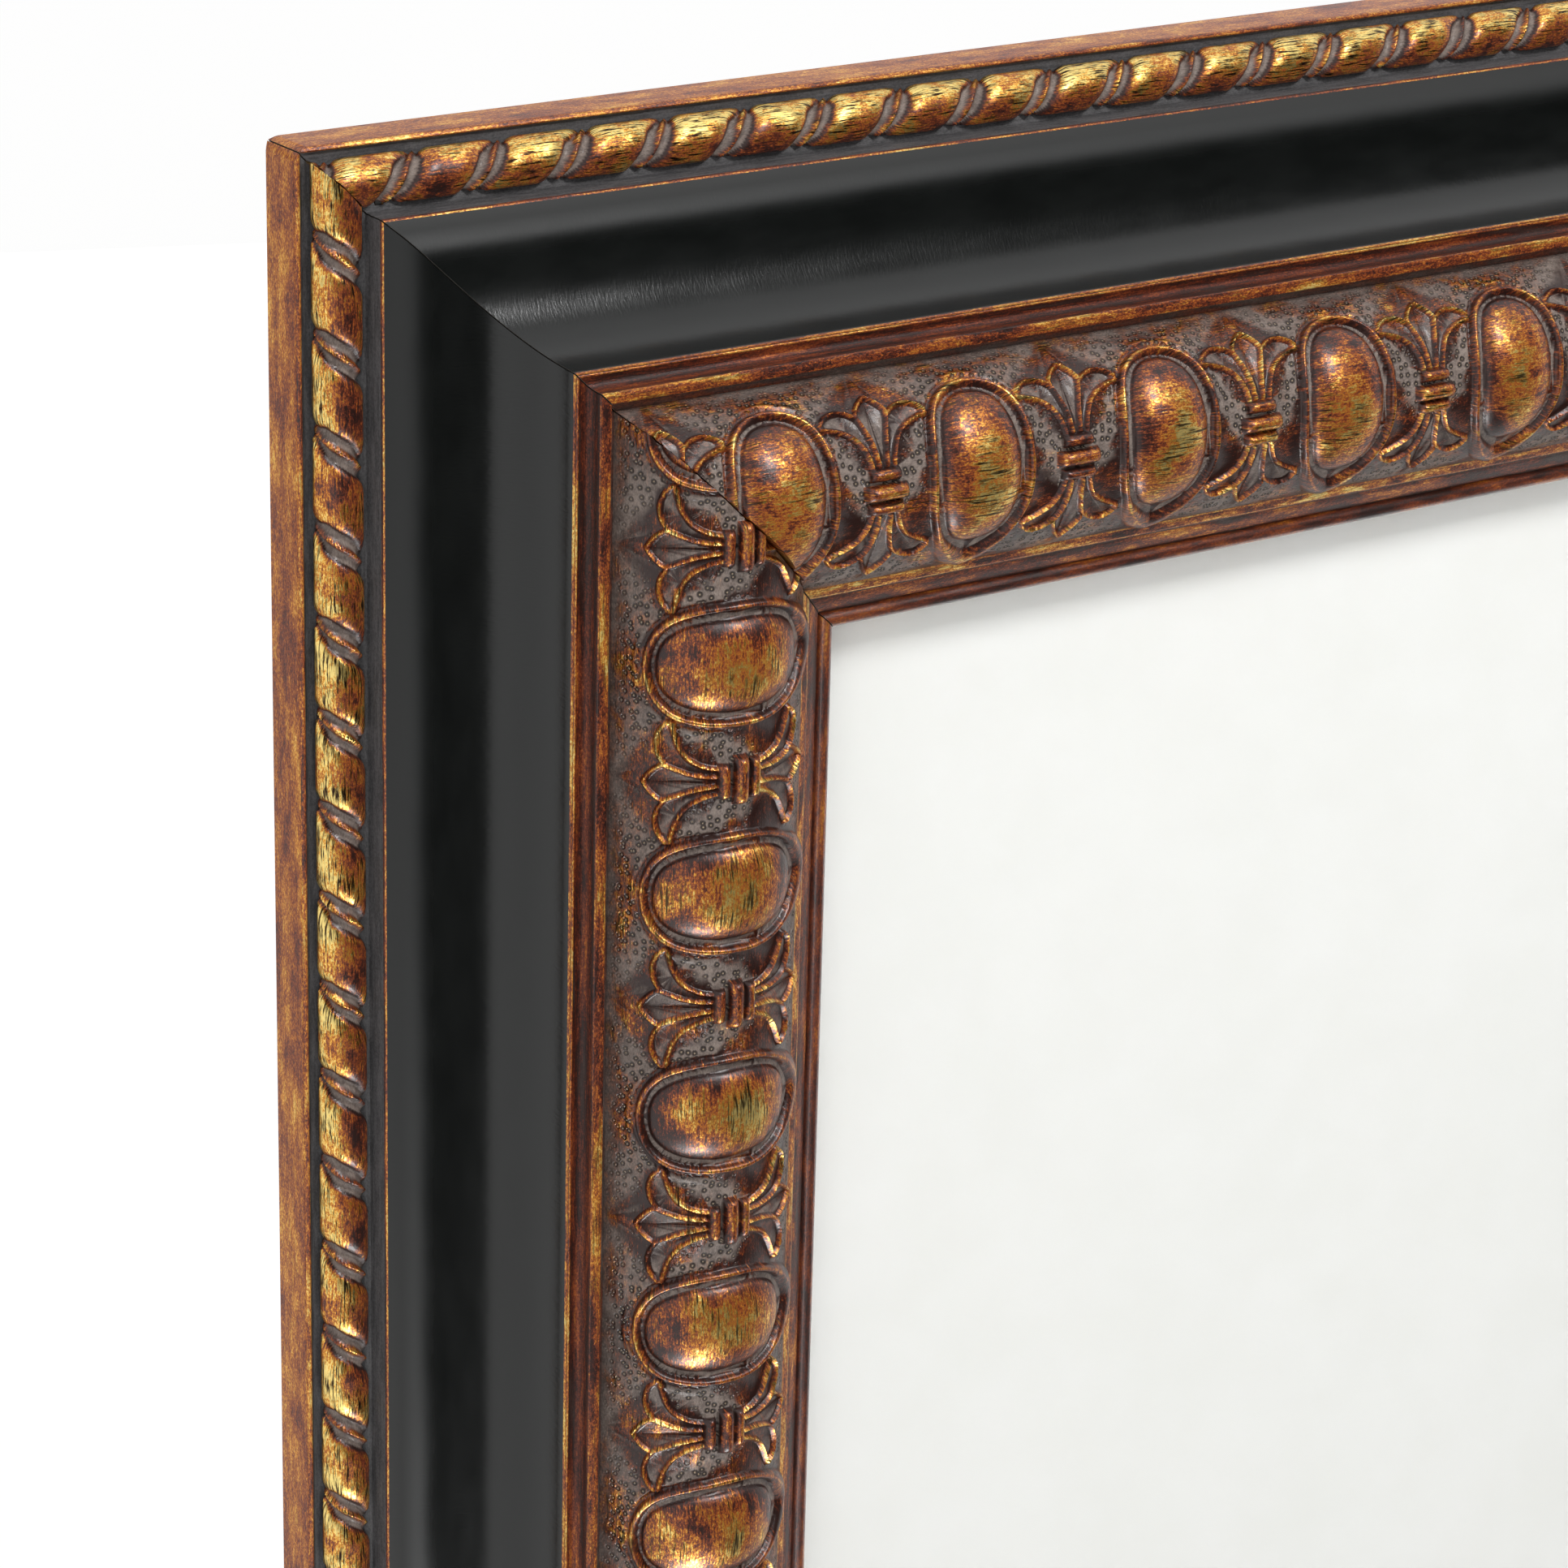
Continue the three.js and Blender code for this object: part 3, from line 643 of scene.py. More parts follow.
def makeCarcass(side):
    length = rails[side]["length"]
    outline = carcassOutline()
    start = [(-length / 2, -height, -inset) for inset, height, name in outline]
    piece = curvePiece("moulding_" + side, start)
    editMode(piece)
    pickAll()
    pull(length, 0, 0)
    cutMitres(piece, length)
    # finish and unrolled coordinates of each stretch, from its place on the outline
    spots = np.array([(inset, height) for inset, height, name in outline])
    ends = np.roll(spots, -1, axis=0)
    travel = np.concatenate([[0], np.cumsum(np.linalg.norm(ends - spots, axis=1))])
    names = sorted({name for inset, height, name in outline}) + ["filler"]
    for name in names:
        piece.data.materials.append(finishes[name])
    uv = piece.data.uv_layers.new(name="UVMap")
    points = readPoints(piece.data) / mm
    for face in piece.data.polygons:
        corners = points[list(face.vertices)]
        middle = np.array((-corners[:, 2].mean(), -corners[:, 1].mean()))
        stretch = int(np.argmin(np.linalg.norm((spots + ends) / 2 - middle, axis=1)))
        face.material_index = names.index(outline[stretch][2])
        for corner, loop in zip(corners, face.loop_indices):
            reach = np.linalg.norm((-corner[2], -corner[1]) - spots[stretch])
            uv.data[loop].uv = (corner[0] * mm, (travel[stretch] + reach) * mm)
    editMode(piece)
    for end in (-1, 1):
        pick(piece, "EDGE", lambda edge: edge.is_boundary and edge.verts[0].co.x * end > 0)
        bpy.ops.mesh.edge_face_add()
    outwards()
    roundTips(piece, length)
    uv = piece.data.uv_layers["UVMap"]
    for face in piece.data.polygons:
        if abs(face.normal.y) > 0.1 or abs(face.normal.x) < 0.1:
            continue
        face.material_index = names.index("filler" if face.normal.z < 0 else "side")
        for loop in face.loop_indices:
            corner = piece.data.vertices[piece.data.loops[loop].vertex_index].co
            uv.data[loop].uv = (corner.x, -corner.y)
    cutSlots(piece, length, names.index("wood"))
    smoothBelow(32)
    setRail(piece, side)
    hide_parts("rail_" + side)


# ornament is pressed flat as one repeat, then laid round its arc

def smoothStroke(points, steps=6):
    points = np.array(points, dtype=float)
    ends = np.vstack([2 * points[0] - points[1], points, 2 * points[-1] - points[-2]])
    drawn = []
    for i in range(1, len(ends) - 2):
        p, q, r, s = ends[i - 1:i + 3]
        for step in range(steps):
            t = step / steps
            square, cube = 2 * p - 5 * q + 4 * r - s, 3 * q - p - 3 * r + s
            drawn.append(0.5 * (2 * q + (r - p) * t + square * t ** 2 + cube * t ** 3))
    return np.vstack([drawn, points[-1]])


def distanceTo(stroke, x, y):
    best = np.full(x.shape, 1e9)
    for (ax, ay), (bx, by) in zip(stroke[:-1], stroke[1:]):
        dx, dy = bx - ax, by - ay
        t = np.clip(((x - ax) * dx + (y - ay) * dy) / max(dx * dx + dy * dy, 1e-12), 0, 1)
        best = np.minimum(best, np.hypot(x - ax - t * dx, y - ay - t * dy))
    return best


def insideOf(outline, x, y):
    inside = np.zeros(x.shape, dtype=bool)
    for (ax, ay), (bx, by) in zip(outline, np.roll(outline, -1, axis=0)):
        crosses = (ay > y) != (by > y)
        inside ^= crosses & (x < (bx - ax) * (y - ay) / (by - ay + 1e-12) + ax)
    return inside


def bell(value, width):
    return np.exp(-(value / width) ** 2)


def soften(value, low, high):
    t = np.clip((value - low) / (high - low), 0, 1)
    return t * t * (3 - 2 * t)


eggBand = {
    "pitch": 39.43, "bottom": 37.0, "keep": 0.262,
    "columns": (80, 19.715), "rows": (168, eggArc["length"]),
    "domeMiddle": 21.0, "domeLength": 13.2, "domeWidth": 7.85, "domeRise": 2.8, "domePower": 2.5,
    "ringRise": 1.25, "ringWidth": 0.75, "ringFoot": 1.5,
    "ring": (
        (0, 6.2), (2.4, 6.55), (4.2, 7.2), (5.9, 8.2), (7.6, 10), (8.8, 12.5), (9.6, 16), (9.9, 20),
        (9.9, 24), (9.5, 27), (8.7, 29.5), (7.5, 32), (6.0, 34.3), (4.2, 36.4), (2.3, 38.2), (0, 39.4),
    ),
    "dart": {  # ridges, from the middle of the dart outwards
        "petalMiddle": (
            (0.8, 17.8), (1.0, 16), (1.5, 13.5), (2.4, 11), (3.0, 9.2), (2.4, 8.0), (1.2, 6.8), (0, 6.0),
        ),
        "petalTop": ((10.4, 9.8), (8.95, 8.6), (6.95, 8.0), (4.8, 8.4), (3.2, 9.4)),
        "petalBottom": (
            (10.4, 10.5), (8.4, 10.9), (6.15, 11.7), (4.25, 13.1), (3.1, 14.9), (2.5, 16.4), (2.2, 17.9),
        ),
        "leafTop": ((2.5, 25.6), (3.4, 28.0), (4.8, 29.8), (6.8, 31.0), (10.0, 32.4)),
        "leafBottom": (
            (1.2, 25.8), (1.4, 28.7), (2.1, 31.3), (3.1, 33.0),
            (5.0, 34.2), (7.2, 34.7), (9.0, 34.0), (10.0, 32.8),
        ),
        "point": ((2.9, 33.6), (1.7, 36.0), (0, 38.0)),
    },
    "ridgeRise": 0.9, "ridgeWidth": 0.32,
    # middle, half width, reach and rise of each tie
    "ties": ((19.2, 1.05, 3.1, 1.7), (22.0, 1.35, 4.2, 2.2), (24.6, 0.95, 3.5, 1.7)),
    "groundGold": 0.23, "ridgeGold": 0.48, "ringGold": 0.56, "tieGold": 0.6, "tipGold": 0.52,
    "domeGold": 0.73, "domeFadeAndShade": 0.52, "creaseShade": 0.6,
    "ringWash": 0.9, "petalWash": 0.8, "groundWash": (0.6, 0.18),
}


# half a repeat, from the middle of an egg to the middle of a dart
def eggRelief(x, y):
    band = eggBand
    fromEgg = np.abs(x)
    fromDart = np.abs(band["pitch"] / 2 - x)
    power = band["domePower"]
    spread = (fromEgg / band["domeWidth"]) ** power
    spread = spread + (np.abs(y - band["domeMiddle"]) / band["domeLength"]) ** power
    spread = spread ** (1 / power)
    dome = band["domeRise"] * np.clip(1 - spread ** 2, 0, 1) ** 0.6
    ring = smoothStroke(band["ring"])
    away = distanceTo(ring, fromEgg, y)
    within = insideOf(np.vstack([ring, (-1, 39.4), (-1, 6)]), fromEgg, y)
    broad = band["ringWidth"] + band["ringFoot"] * soften(y, 31, 39)
    rim = band["ringRise"] * np.clip(1 - (away / broad) ** 2, 0, 1) ** 0.75
    rim += np.where(within, 0, 0.4 * bell(away - 1.9, 0.5) * (1 - soften(y, 12, 20)))
    height = np.maximum(rim, dome)
    floor = within & (spread > 1)
    # dart
    dart = {name: smoothStroke(points) for name, points in band["dart"].items()}
    nearest = np.full(x.shape, 1e9)
    for stroke in dart.values():
        nearest = np.minimum(nearest, distanceTo(stroke, fromDart, y))
    nearest = np.where(within, 1e9, nearest)
    ridge = band["ridgeRise"] * bell(nearest, band["ridgeWidth"])
    ridge -= 0.2 * bell(nearest - 1.1, 0.35)
    leaves = np.zeros(x.shape, dtype=bool)
    for outline in (
        [dart["petalMiddle"], (0, 17.8)],
        [dart["petalTop"], dart["petalBottom"][::-1]],
        [dart["leafTop"], dart["leafBottom"][::-1]],
        [dart["point"], (0, 26), (1.2, 26), (2.1, 31.3)],
    ):
        leaves |= insideOf(np.vstack(outline), fromDart, y)
    inPetal = leaves & ~within
    height = np.where(height > 0.12, np.maximum(height, ridge), ridge + height)
    bound = np.zeros(x.shape)
    for middle, half, wide, rise in band["ties"]:
        roll = np.clip(1 - ((y - middle) / half) ** 2, 0, 1) ** 0.5
        roll *= np.clip(1 - (fromDart / wide) ** 6, 0, 1) ** 0.5
        bound = np.maximum(bound, rise * roll)
    height = np.maximum(height, bound)
    # how much gold is left, most on the crests; the dark lines beside ridges and outside rings, the dark ring
    # round each dome and part of the dome's darkening towards its rim are painted shade
    dark = band["creaseShade"]
    gold = band["groundGold"] + band["ridgeGold"] * bell(nearest, 0.32) - dark * bell(nearest - 0.75, 0.25)
    gold = np.maximum(gold, band["ringGold"] * bell(away / band["ringWidth"], 0.5))
    # painted shade: a dark line just outside each ring
    gold = gold - dark * bell(away - broad - 0.15, 0.22)
    gold = np.where(bound > 0.3, band["tieGold"] * soften(bound, 0.5, 1.7) - 0.1, gold)
    # the dome darkens towards its rim, partly its gilding's tone and partly painted shade, with a painted
    # shadow ring at its edge
    onDome = band["domeGold"] - band["domeFadeAndShade"] * spread ** 2 - 0.5 * soften(spread, 0.95, 1.0)
    gold = np.where(spread < 1.04, onDome, gold)
    tip = bell(y - 4.2, 1.5) * np.maximum(bell(fromEgg, 4), 0.8 * bell(fromDart, 3))
    gold = np.maximum(gold, band["tipGold"] * tip)
    # where the grey wash stays
    hollow = np.where(floor, soften(away - broad, 0.0, 0.3) * soften(spread, 1.0, 1.03), 0)
    free = soften(nearest, 0.7, 1.1) * soften(away - broad, 0.3, 0.9) * (bound < 0.05)
    ground = np.where(~within & ~inPetal, free, 0)
    inner = np.where(inPetal, soften(nearest, 0.55, 0.85), 0)
    least, more = band["groundWash"]
    onGround = ground * (least + more * soften(y, 4, 11)) * (1 - 0.2 * soften(y, 34, 40))
    wash = np.maximum(np.maximum(hollow * band["ringWash"], inner * band["petalWash"]), onGround)
    stipple = ground * soften(y, 0.4, 0.9) * (1 - soften(y, 40.5, 41.5))
    return height, gold, wash * (1 - tip), stipple


beadRow = {
    "pitch": 15.79, "bottom": 9.2, "keep": 1.0,
    "columns": (44, 15.79), "rows": (36, beadArc["length"]),
    "slant": 0.5, "gap": 2.2, "ridge": 0.7, "depth": 1.6, "ridgeDrop": 0.3, "start": 0.2, "end": 12.3,
    "gold": 0.93, "goldFade": 0.48, "ridgeGold": 0.6, "wash": 0.85,
}


def beadRelief(x, y):
    row = beadRow
    pitch = row["pitch"]
    middle = beadArc["length"] / 2
    lean = row["slant"] * (y - middle) + 0.004 * (y - middle) ** 3
    place = (x + lean + pitch / 2) % pitch - pitch / 2
    end = np.abs(place)
    # hollows taper to the outer edge
    gap = row["gap"] * (0.3 + 0.7 * soften(y, 0.8, 4.2)) * (1 - 0.25 * soften(y, 9.5, 12))
    across = np.minimum(y - row["start"], row["end"] - y)
    sides = np.clip(1 - np.clip(1 - across / 1.5, 0, 1) ** 2, 0, 1) ** 0.5
    ends = np.clip(1 - np.clip(1 - (end - gap) / 4.0, 0, 1) ** 2.4, 0, 1) ** 0.55
    bead = np.where(across < 0, 0, np.minimum(sides, ends))
    rib = bell(end, row["ridge"]) * np.clip(sides * 1.1, 0, 1) * (1 - row["ridgeDrop"])
    height = row["depth"] * (np.maximum(bead, rib) - 1)
    rubbed = row["gold"] - row["goldFade"] * soften(y, 3.5, 9) - 0.1 * soften(end, 5.5, 7.8)
    gold = np.maximum(row["ridgeGold"] * bell(end, 0.7) * sides, soften(bead, 0.2, 0.75) * rubbed)
    # painted shade: darker along each bead's sides and where it meets the hollows
    gold -= 0.25 * bell(across - 0.3, 0.4) + 0.3 * bell(end - gap - 0.3, 0.35)
    wash = np.maximum(1 - soften(bead, 0.1, 0.4) - bell(end, 0.8) * sides, 0)
    # painted shade: dark along the row's outer and inner edges
    return height, np.where(across < 0.1, -0.4, gold), wash * row["wash"], np.zeros(x.shape)


def makeOrnament(side, name, kind, settings, relief, arc):
    length, phase = rails[side]["length"], rails[side][kind]
    pitch = settings["pitch"]
    (columns, wide), (rows, round) = settings["columns"], settings["rows"]
    halved = settings["keep"] < 1  # flat stretches need few faces, and half the repeat mirrors the other
    deselectAll()
    bpy.ops.mesh.primitive_grid_add(x_subdivisions=columns, y_subdivisions=rows, size=1)
    piece = bpy.context.object
    piece.name = name + "_" + side
    flat = readPoints(piece.data) + 0.5
    x = np.interp(flat[:, 0] * columns, (0, columns), (0, wide))
    y = np.interp(flat[:, 1] * rows, (0, rows), (0, round))
    writePoints(piece.data, np.column_stack([x, y, relief(x, y)[0]]))
    if halved:
        thin = piece.modifiers.new("thin", "DECIMATE")
        thin.ratio = settings["keep"]
        applyModifier(piece, thin)
        flat = readPoints(piece.data)
        masks = relief(flat[:, 0], flat[:, 1])[1:]
    else:
        masks = relief(x, y)[1:]
    for label, mask in zip(("goldRubAndShade", "greyWash", "stipple"), masks):
        layer = piece.data.attributes.new(label, "FLOAT", "POINT")
        layer.data.foreach_set("value", np.asarray(mask, dtype=np.float32))
    if halved:
        writePoints(piece.data, flat - (pitch / 2, 0, 0))
        other = piece.modifiers.new("other", "MIRROR")
        other.merge_threshold = 0.01
        applyModifier(piece, other)
        writePoints(piece.data, readPoints(piece.data) + (pitch / 2, 0, 0))
    first = phase % pitch - length / 2 - pitch
    count = int(math.ceil((length / 2 - first) / pitch)) + 1
    repeat = piece.modifiers.new("repeat", "ARRAY")
    repeat.count = count
    repeat.use_relative_offset = False
    repeat.use_constant_offset = True
    repeat.constant_offset_displace = (pitch, 0, 0)
    repeat.use_merge_vertices = True
    repeat.merge_threshold = 0.01
    applyModifier(piece, repeat)
    laid = readPoints(piece.data)
    along = laid[:, 0] + first
    inset, front = onArc(arc, laid[:, 1], laid[:, 2])
    uv = piece.data.uv_layers.active or piece.data.uv_layers.new(name="UVMap")
    uv.name = "UVMap"
    corners = np.empty(len(piece.data.loops), dtype=np.int32)
    piece.data.loops.foreach_get("vertex_index", corners)
    unrolled = np.column_stack([along, laid[:, 1]])[corners] * mm
    uv.data.foreach_set("uv", unrolled.astype(np.float32).ravel())
    writePoints(piece.data, np.column_stack([along, -front, -inset]) * mm)
    cutMitres(piece, length)
    closeRim(piece, settings["bottom"])
    piece.data.materials.clear()
    piece.data.materials.append(finishes[kind])
    smoothBelow(60)
    setRail(piece, side)


for side in rails:
    makeCarcass(side)
    print("moulding made:", side)
    makeOrnament(side, "eggAndDart", "egg", eggBand, eggRelief, eggArc)
    makeOrnament(side, "beadRow", "bead", beadRow, beadRelief, beadArc)
    print("ornament laid:", side)


# back of the frame: card, board, glass and plated hardware

def cardFinish():
    finish, tree, shader = startFinish("whiteCard")
    place = addPlace(tree)
    fibre = addNoise(tree, place, 1.4, 0.5, 4, 0.7)
    cloud = addNoise(tree, place, 16.0, 16.0, 2, 0.5, 2.0)
    uneven = addRamp(tree, addSum(tree, fibre, cloud), 0.7, 1.3)
    dress(tree, shader, {
        "Base Color": addMix(tree, uneven, paint(246, 245, 242), paint(249, 248, 246)),
        "Roughness": addRamp(tree, fibre, 0.3, 0.7, 0.75, 0.9), "Specular IOR Level": 0.1,
        "Normal": addBump(tree, fibre, 0.05, 0.4),
    })
    return finish


# pressed fibreboard, with the mark of the press screen
def boardFinish():
    finish, tree, shader = startFinish("pressedBoard")
    place = addPlace(tree)
    fibre = addNoise(tree, place, 5.0, 1.0, 5, 0.7)
    fleck = addNoise(tree, place, 1.2, 1.0, 3, 0.7, 7.0)
    shade = addMix(tree, addRamp(tree, fibre, 0.3, 0.7), paint(112, 74, 45), paint(148, 104, 66))
    shade = addMix(tree, addRamp(tree, fleck, 0.56, 0.72, 0.0, 0.6), shade, paint(78, 50, 31))
    shade = addMix(tree, addRamp(tree, fleck, 0.3, 0.42, 0.45, 0.0), shade, paint(186, 146, 100))
    screen = []
    for axis in ("X", "Z"):
        wave = tree.nodes.new("ShaderNodeTexWave")
        wave.bands_direction = axis
        dress(tree, wave, {"Scale": math.pi / 10 / (1.4 * mm), "Distortion": 0.6, "Vector": place})
        screen.append(wave.outputs["Fac"])
    marks = addBump(tree, addProduct(tree, *screen), 0.12, 0.5)
    dress(tree, shader, {
        "Base Color": shade, "Roughness": addRamp(tree, fleck, 0.3, 0.7, 0.55, 0.75),
        "Normal": addBump(tree, fibre, 0.1, 0.4, marks),
    })
    return finish


def glassFinish():
    finish, tree, shader = startFinish("clearGlass")
    haze = addNoise(tree, addPlace(tree), 40.0, 40.0, 3, 0.5)
    dress(tree, shader, {
        "Base Color": addMix(tree, haze, paint(232, 243, 239), paint(240, 247, 245)),
        "Roughness": addRamp(tree, haze, 0.3, 0.7, 0.02, 0.05), "IOR": 1.52, "Alpha": 0.06,
    })
    return finish


def platedFinish(name, bright, dull, smooth, worn):
    finish, tree, shader = startFinish(name)
    place = addPlace(tree)
    cloud = addNoise(tree, place, 9.0, 9.0, 4, 0.6)
    scratch = addNoise(tree, place, 5.0, 0.2, 3, 0.6, 3.0)
    fine = addNoise(tree, place, 0.6, 0.6, 3, 0.6, 8.0)
    uneven = addRamp(tree, addSum(tree, cloud, addProduct(tree, fine, 0.4)), 0.5, 0.95)
    height = addSum(tree, scratch, addProduct(tree, fine, 0.5))
    dress(tree, shader, {
        "Base Color": addMix(tree, uneven, bright, dull), "Metallic": 1.0,
        "Roughness": addRamp(tree, addSum(tree, cloud, scratch), 0.7, 1.3, smooth, worn),
        "Normal": addBump(tree, height, 0.03, 0.4),
    })
    return finish


finishes["card"] = cardFinish()
finishes["board"] = boardFinish()
finishes["glass"] = glassFinish()
finishes["brass"] = platedFinish("satinBrass", paint(206, 164, 92), paint(158, 112, 52), 0.24, 0.42)
finishes["steel"] = platedFinish("zincSteel", paint(186, 187, 184), paint(140, 140, 136), 0.28, 0.46)

keptNodes = {"glazing_pane": "glass", "insert_card": "card", "back_panel": "board"}
keptNodes.update({name: "steel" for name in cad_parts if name.startswith("corner_nail")})
for name, finish in keptNodes.items():
    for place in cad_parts[name].material_slots:
        place.material = finishes[finish]
print("sheets and nails finished:", len(keptNodes))

seats = {
    "shelf": 27.8, "gap": 0.3, "screwInset": 68.0,
    "wide": 200.0, "tall": 250.0,
    "ends": {
        "top": ("left", "right"), "bottom": ("right", "left"),
        "left": ("lower", "upper"), "right": ("upper", "lower"),
    },
}
turnButton = {"eye": 6.0, "tip": 4.0, "thickness": 1.5, "hole": 1.8, "edge": 0.35}
screw = {"head": 3.4, "rise": 1.6, "shank": 1.5, "length": 13.0, "point": 3.0, "slot": 0.8, "slotDepth": 0.8}


def closeUp():
    pickAll()
    bpy.ops.mesh.remove_doubles(threshold=0.001 * mm)
    outwards()


def softEdges(piece, width, steps, angle):
    bevel = piece.modifiers.new("softEdges", "BEVEL")
    bevel.width = width * mm
    bevel.segments = steps
    bevel.limit_method = "ANGLE"
    bevel.angle_limit = math.radians(angle)
    applyModifier(piece, bevel)
    smoothBelow(35)


# plate in its own plane: eye at the origin, tip along -Y, thickness up
def makeButton():
    low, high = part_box("turn_button_top_left")
    reach = (high.z - low.z) - (turnButton["eye"] + turnButton["tip"]) * mm
    deselectAll()
    bpy.ops.mesh.primitive_circle_add(vertices=48, radius=turnButton["eye"] * mm)
    piece = bpy.context.object
    editMode(piece)
    pick(piece, "VERT", lambda vertex: vertex.co.y < -0.01 * mm)
    small = turnButton["tip"] / turnButton["eye"]
    bpy.ops.transform.resize(value=(small, small, small), center_override=(0, 0, 0))
    bpy.ops.transform.translate(value=(0, -reach, 0))
    bpy.ops.mesh.select_all(action="DESELECT")
    bpy.ops.mesh.primitive_circle_add(vertices=48, radius=turnButton["hole"] * mm)
    pickAll()
    bpy.ops.mesh.bridge_edge_loops()
    pickAll()
    pull(0, 0, turnButton["thickness"])
    closeUp()
    softEdges(piece, turnButton["edge"], 3, 50)
    return piece


# domed head with its underside at the origin, and a pointed shank below
def makeScrew(through):
    ball = (screw["head"] ** 2 + screw["rise"] ** 2) / (2 * screw["rise"])
    deselectAll()
    bpy.ops.mesh.primitive_uv_sphere_add(
        segments=36, ring_count=40, radius=ball * mm, location=(0, 0, (screw["rise"] - ball) * mm),
    )
    piece = bpy.context.object
    settle()
    editMode(piece)
    pickAll()
    bpy.ops.mesh.bisect(plane_co=(0, 0, 0), plane_no=(0, 0, 1), use_fill=True, clear_inner=True)
    pick(piece, "FACE", lambda face: max(abs(vertex.co.z) for vertex in face.verts) < 0.001 * mm)
    bpy.ops.mesh.inset(thickness=(screw["head"] - screw["shank"]) * mm)
    pull(0, 0, -(screw["length"] + through - screw["point"]))
    pull(0, 0, -screw["point"])
    bpy.ops.mesh.merge(type="CENTER")
    closeUp()
    middle = Vector((0, 0, screw["rise"] - screw["slotDepth"] + 1))
    cutAway(piece, addCube(middle * mm, Vector((4 * screw["head"], screw["slot"], 2)) * mm))
    smoothBelow(35)
    return piece


def placeCopy(pattern, name, place, body, node, metal):
    piece = pattern.copy()
    piece.data = pattern.data.copy()
    piece.name = name
    bpy.context.collection.objects.link(piece)
    piece.matrix_world = place
    makeActive(piece)
    settle()
    piece.data.materials.clear()
    piece.data.materials.append(finishes[metal])
    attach(piece, body)
    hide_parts(node)


def turnAbout(axis, degrees):
    return Matrix.Rotation(math.radians(degrees), 4, axis)


plate = makeButton()
shortScrew = makeScrew(turnButton["thickness"] + 2 * seats["gap"])
driven = 0
for side, rail in rails.items():
    stand = Matrix.Translation((rail["x"] * mm, 0, rail["z"] * mm)) @ turnAbout("Y", rail["turn"])
    spacing = seats["wide"] if side in ("top", "bottom") else seats["tall"]
    for index, end in enumerate(seats["ends"][side]):
        place = side + "_" + end
        deep = -seats["shelf"] + seats["gap"] + turnButton["thickness"]
        spot = Vector(((index - 0.5) * spacing, deep, -seats["screwInset"])) * mm
        lie = stand @ Matrix.Translation(spot) @ turnAbout("X", 90)
        placeCopy(plate, "turnButton_" + place, lie, "button_" + place, "turn_button_" + place, "brass")
        spot.y += seats["gap"] * mm
        lie = stand @ Matrix.Translation(spot) @ turnAbout("X", -90) @ turnAbout("Z", 47 * driven)
        placeCopy(shortScrew, "buttonScrew_" + place, lie, "frame", "button_screw_" + place, "steel")
        driven += 1
bpy.data.objects.remove(plate)
bpy.data.objects.remove(shortScrew)
print("turn buttons set:", driven)

hanger = {
    "across": 213.3, "top": -104.0, "width": 12.0, "length": 34.0, "thickness": 1.2, "corner": 3.0,
    "bore": 1.4, "fold": 318, "wire": 1.1, "ringWidth": 17.0, "ringHeight": 13.0,
    "screws": {"upper": 21.0, "lower": 29.5},
}


# strap with its back on y = 0, folded round the ring's bar at its upper end
def makeStrap():
    wide, long, thick = hanger["width"] * mm, hanger["length"] * mm, hanger["thickness"] * mm
    piece = addCube((0, thick / 2, -long / 2), (wide, thick, long))
    settle()
    editMode(piece)

    def lowCorner(edge):
        one, two = edge.verts
        return abs(one.co.y - two.co.y) > thick / 2 and one.co.z < -long / 2

    pick(piece, "EDGE", lowCorner)
    bpy.ops.mesh.bevel(offset=hanger["corner"] * mm, segments=6, affect="EDGES")
    pick(piece, "FACE", lambda face: face.normal.z > 0.9)
    bpy.ops.mesh.delete(type="ONLY_FACE")
    pick(piece, "EDGE", lambda edge: edge.is_boundary)
    pivot = (0, (hanger["bore"] + hanger["thickness"]) * mm, 0)
    bpy.ops.mesh.spin(steps=24, angle=math.radians(-hanger["fold"]), center=pivot, axis=(1, 0, 0))
    bpy.ops.mesh.edge_face_add()
    closeUp()
    softEdges(piece, 0.2, 2, 50)
    return piece


# D-shaped ring of round wire: its bar on the hinge line, its bow below
def makeRing():
    half = hanger["ringWidth"] / 2 + hanger["wire"]
    low = half - hanger["ringHeight"] - 2 * hanger["wire"]
    corner = 2 * hanger["wire"]
    bend = [math.radians(90 * step / 6) for step in range(7)]
    turn = [(half - corner + corner * math.sin(angle), 0, corner * (math.cos(angle) - 1)) for angle in bend]
    sweep = [math.pi * step / 28 for step in range(29)]
    path = [(-x, y, z) for x, y, z in turn]
    path += [(-half * math.cos(angle), 0, low - half * math.sin(angle)) for angle in sweep]
    piece = curvePiece("wire", path + turn[::-1], hanger["wire"])
    editMode(piece)
    closeUp()
    bpy.ops.object.shade_smooth()
    return piece


strap = makeStrap()
bow = makeRing()
strapScrew = makeScrew(hanger["thickness"] + 2 * seats["gap"])
for side, across in (("left", -1), ("right", 1)):
    back = -seats["shelf"] + seats["gap"]
    stand = Matrix.Translation(Vector((across * hanger["across"], back, hanger["top"])) * mm)
    placeCopy(strap, "hangerStrap_" + side, stand, "frame", "hanger_strap_" + side, "brass")
    lie = stand @ Matrix.Translation((0, (hanger["bore"] + hanger["thickness"]) * mm, 0))
    placeCopy(bow, "hangerRing_" + side, lie, "ring_" + side, "hanger_ring_" + side, "brass")
    for end, drop in hanger["screws"].items():
        spot = Vector((0, hanger["thickness"] + seats["gap"], -drop)) * mm
        lie = stand @ Matrix.Translation(spot) @ turnAbout("X", -90) @ turnAbout("Z", 31 * drop)
        place = side + "_" + end
        placeCopy(strapScrew, "hangerScrew_" + place, lie, "frame", "hanger_screw_" + place, "steel")
for pattern in (strap, bow, strapScrew):
    bpy.data.objects.remove(pattern)
print("hangers set")


# light: white all round, with a dark stretch in front for the gloss to show its shape

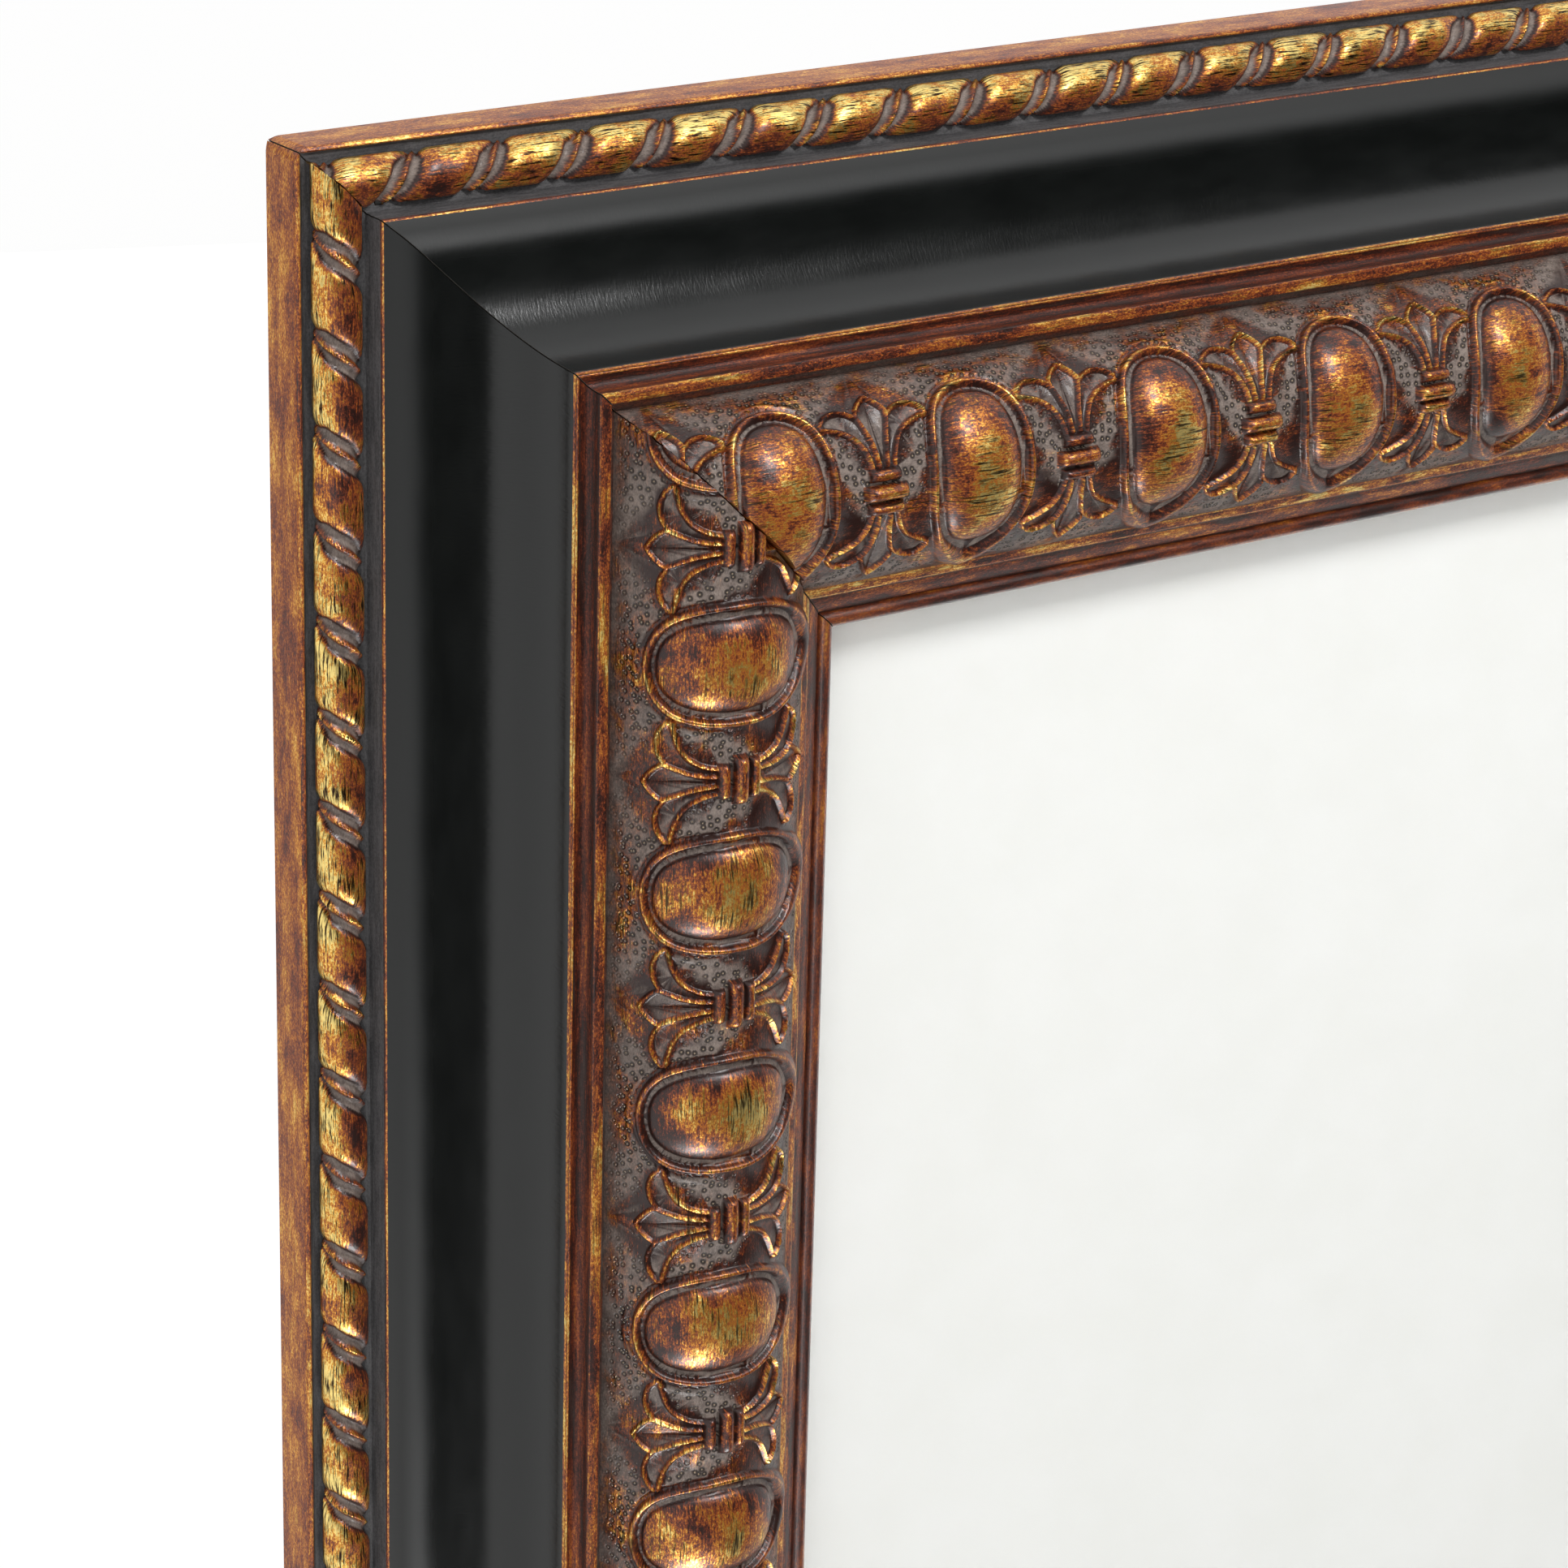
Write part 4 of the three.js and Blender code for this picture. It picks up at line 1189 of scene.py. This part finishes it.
light = {
    "world": 0.45, "dark": 0.03, "edge": (-0.6, -0.44), "front": (-0.45, -0.3), "sky": (0.6, 0.9),
    "overhead": {
        "place": (0.09, -0.75, 0.75), "aim": (-0.12, -0.03, -0.03), "size": (0.2, 0.3), "power": 7.8,
    },
    "fill": {"place": (-1.1, -1.7, 0.2), "aim": (0, 0, -0.3), "size": (2.2, 2.2), "power": 21.5},
    "back": {"place": (0.7, 1.9, 0.4), "aim": (0, 0, -0.3), "size": (2.2, 2.2), "power": 12.0},
    "low": {"place": (-0.28, -0.24, -0.6), "aim": (-0.2, -0.05, -0.15), "size": (0.2, 0.15), "power": 2.2},
}


def addSoftbox(name, settings, glossy=True, diffuse=True):
    deselectAll()
    bpy.ops.object.light_add(type="AREA", location=settings["place"])
    lamp = bpy.context.object
    lamp.name = name
    lamp.data.shape = "RECTANGLE"
    lamp.data.size, lamp.data.size_y = settings["size"]
    lamp.data.energy = settings["power"]
    toward = Vector(settings["aim"]) - Vector(settings["place"])
    lamp.rotation_euler = toward.to_track_quat("-Z", "Y").to_euler()
    lamp.visible_camera = False
    lamp.visible_glossy = glossy
    lamp.visible_diffuse = diffuse


# how far a direction lies in the dark stretch, from its turn to the side
def addFront(tree, vector):
    level = addVector(tree, "MULTIPLY", vector, (1, 1, 0))
    apart = addSplit(tree, addVector(tree, "NORMALIZE", level))
    across = addRamp(tree, apart["X"], *light["edge"])
    return addProduct(tree, across, addRamp(tree, apart["Y"], *light["front"], 1.0, 0.0))


addSoftbox("lowBox", light["low"], diffuse=False)
addSoftbox("overheadBox", light["overhead"])
addSoftbox("frontFill", light["fill"], glossy=False)
addSoftbox("backFill", light["back"], glossy=False)

world = bpy.data.worlds.new("studio")
bpy.context.scene.world = world
world.use_nodes = True
tree = world.node_tree
tree.nodes.clear()
direction = tree.nodes.new("ShaderNodeTexCoord").outputs["Generated"]
below = addRamp(tree, addSplit(tree, direction)["Z"], *light["sky"], 1.0, 0.0)
front = addProduct(tree, addFront(tree, direction), below)
shade = addRamp(tree, front, 0.0, 1.0, 1.0, light["dark"])
path = tree.nodes.new("ShaderNodeLightPath").outputs
lit = addMath(tree, "MAXIMUM", path["Is Glossy Ray"], light["world"])
seen = addMath(tree, "MAXIMUM", path["Is Camera Ray"], path["Is Transmission Ray"])
choose = tree.nodes.new("ShaderNodeMixShader")
feed(tree, seen, choose.inputs[0])
for index, strength in enumerate((addProduct(tree, shade, lit), 1.0)):
    surround = tree.nodes.new("ShaderNodeBackground")
    dress(tree, surround, {"Color": (1, 1, 1, 1), "Strength": strength})
    feed(tree, surround.outputs[0], choose.inputs[index + 1])
ending = tree.nodes.new("ShaderNodeOutputWorld")
feed(tree, choose.outputs[0], ending.inputs["Surface"])
print("lights set")

boxLow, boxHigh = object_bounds()

# pale floor under the lower moulding, white to the camera where nothing shades it

floor = {
    "size": 8.0, "shift": (0.25, 0.03, 0), "lift": 0.85,
    "pale": paint(232, 232, 230), "seen": paint(128, 128, 127), "dark": paint(60, 60, 60),
}
deselectAll()
bpy.ops.mesh.primitive_plane_add(size=floor["size"], location=(0, 0, boxLow[2]))
ground = bpy.context.object
ground.name = "floor"
finish, tree, shader = startFinish("paleFloor")
path = tree.nodes.new("ShaderNodeLightPath").outputs
# the dark stretch goes on over the floor
front = addFront(tree, addVector(tree, "ADD", addPlace(tree), floor["shift"]))
mirrored = addProduct(tree, path["Is Glossy Ray"], front)
clear = addProduct(tree, path["Is Glossy Ray"], addMath(tree, "SUBTRACT", 1.0, front))
seen = addMath(tree, "MAXIMUM", path["Is Transmission Ray"], clear)
seen = addMath(tree, "MAXIMUM", path["Is Camera Ray"], seen)
dress(tree, shader, {
    "Base Color": addMix(tree, mirrored, addMix(tree, seen, floor["pale"], floor["seen"]), floor["dark"]),
    "Roughness": 0.8, "Emission Color": (1, 1, 1, 1),
    "Emission Strength": addProduct(tree, seen, floor["lift"]),
})
ground.data.materials.append(finish)
print("floor laid")
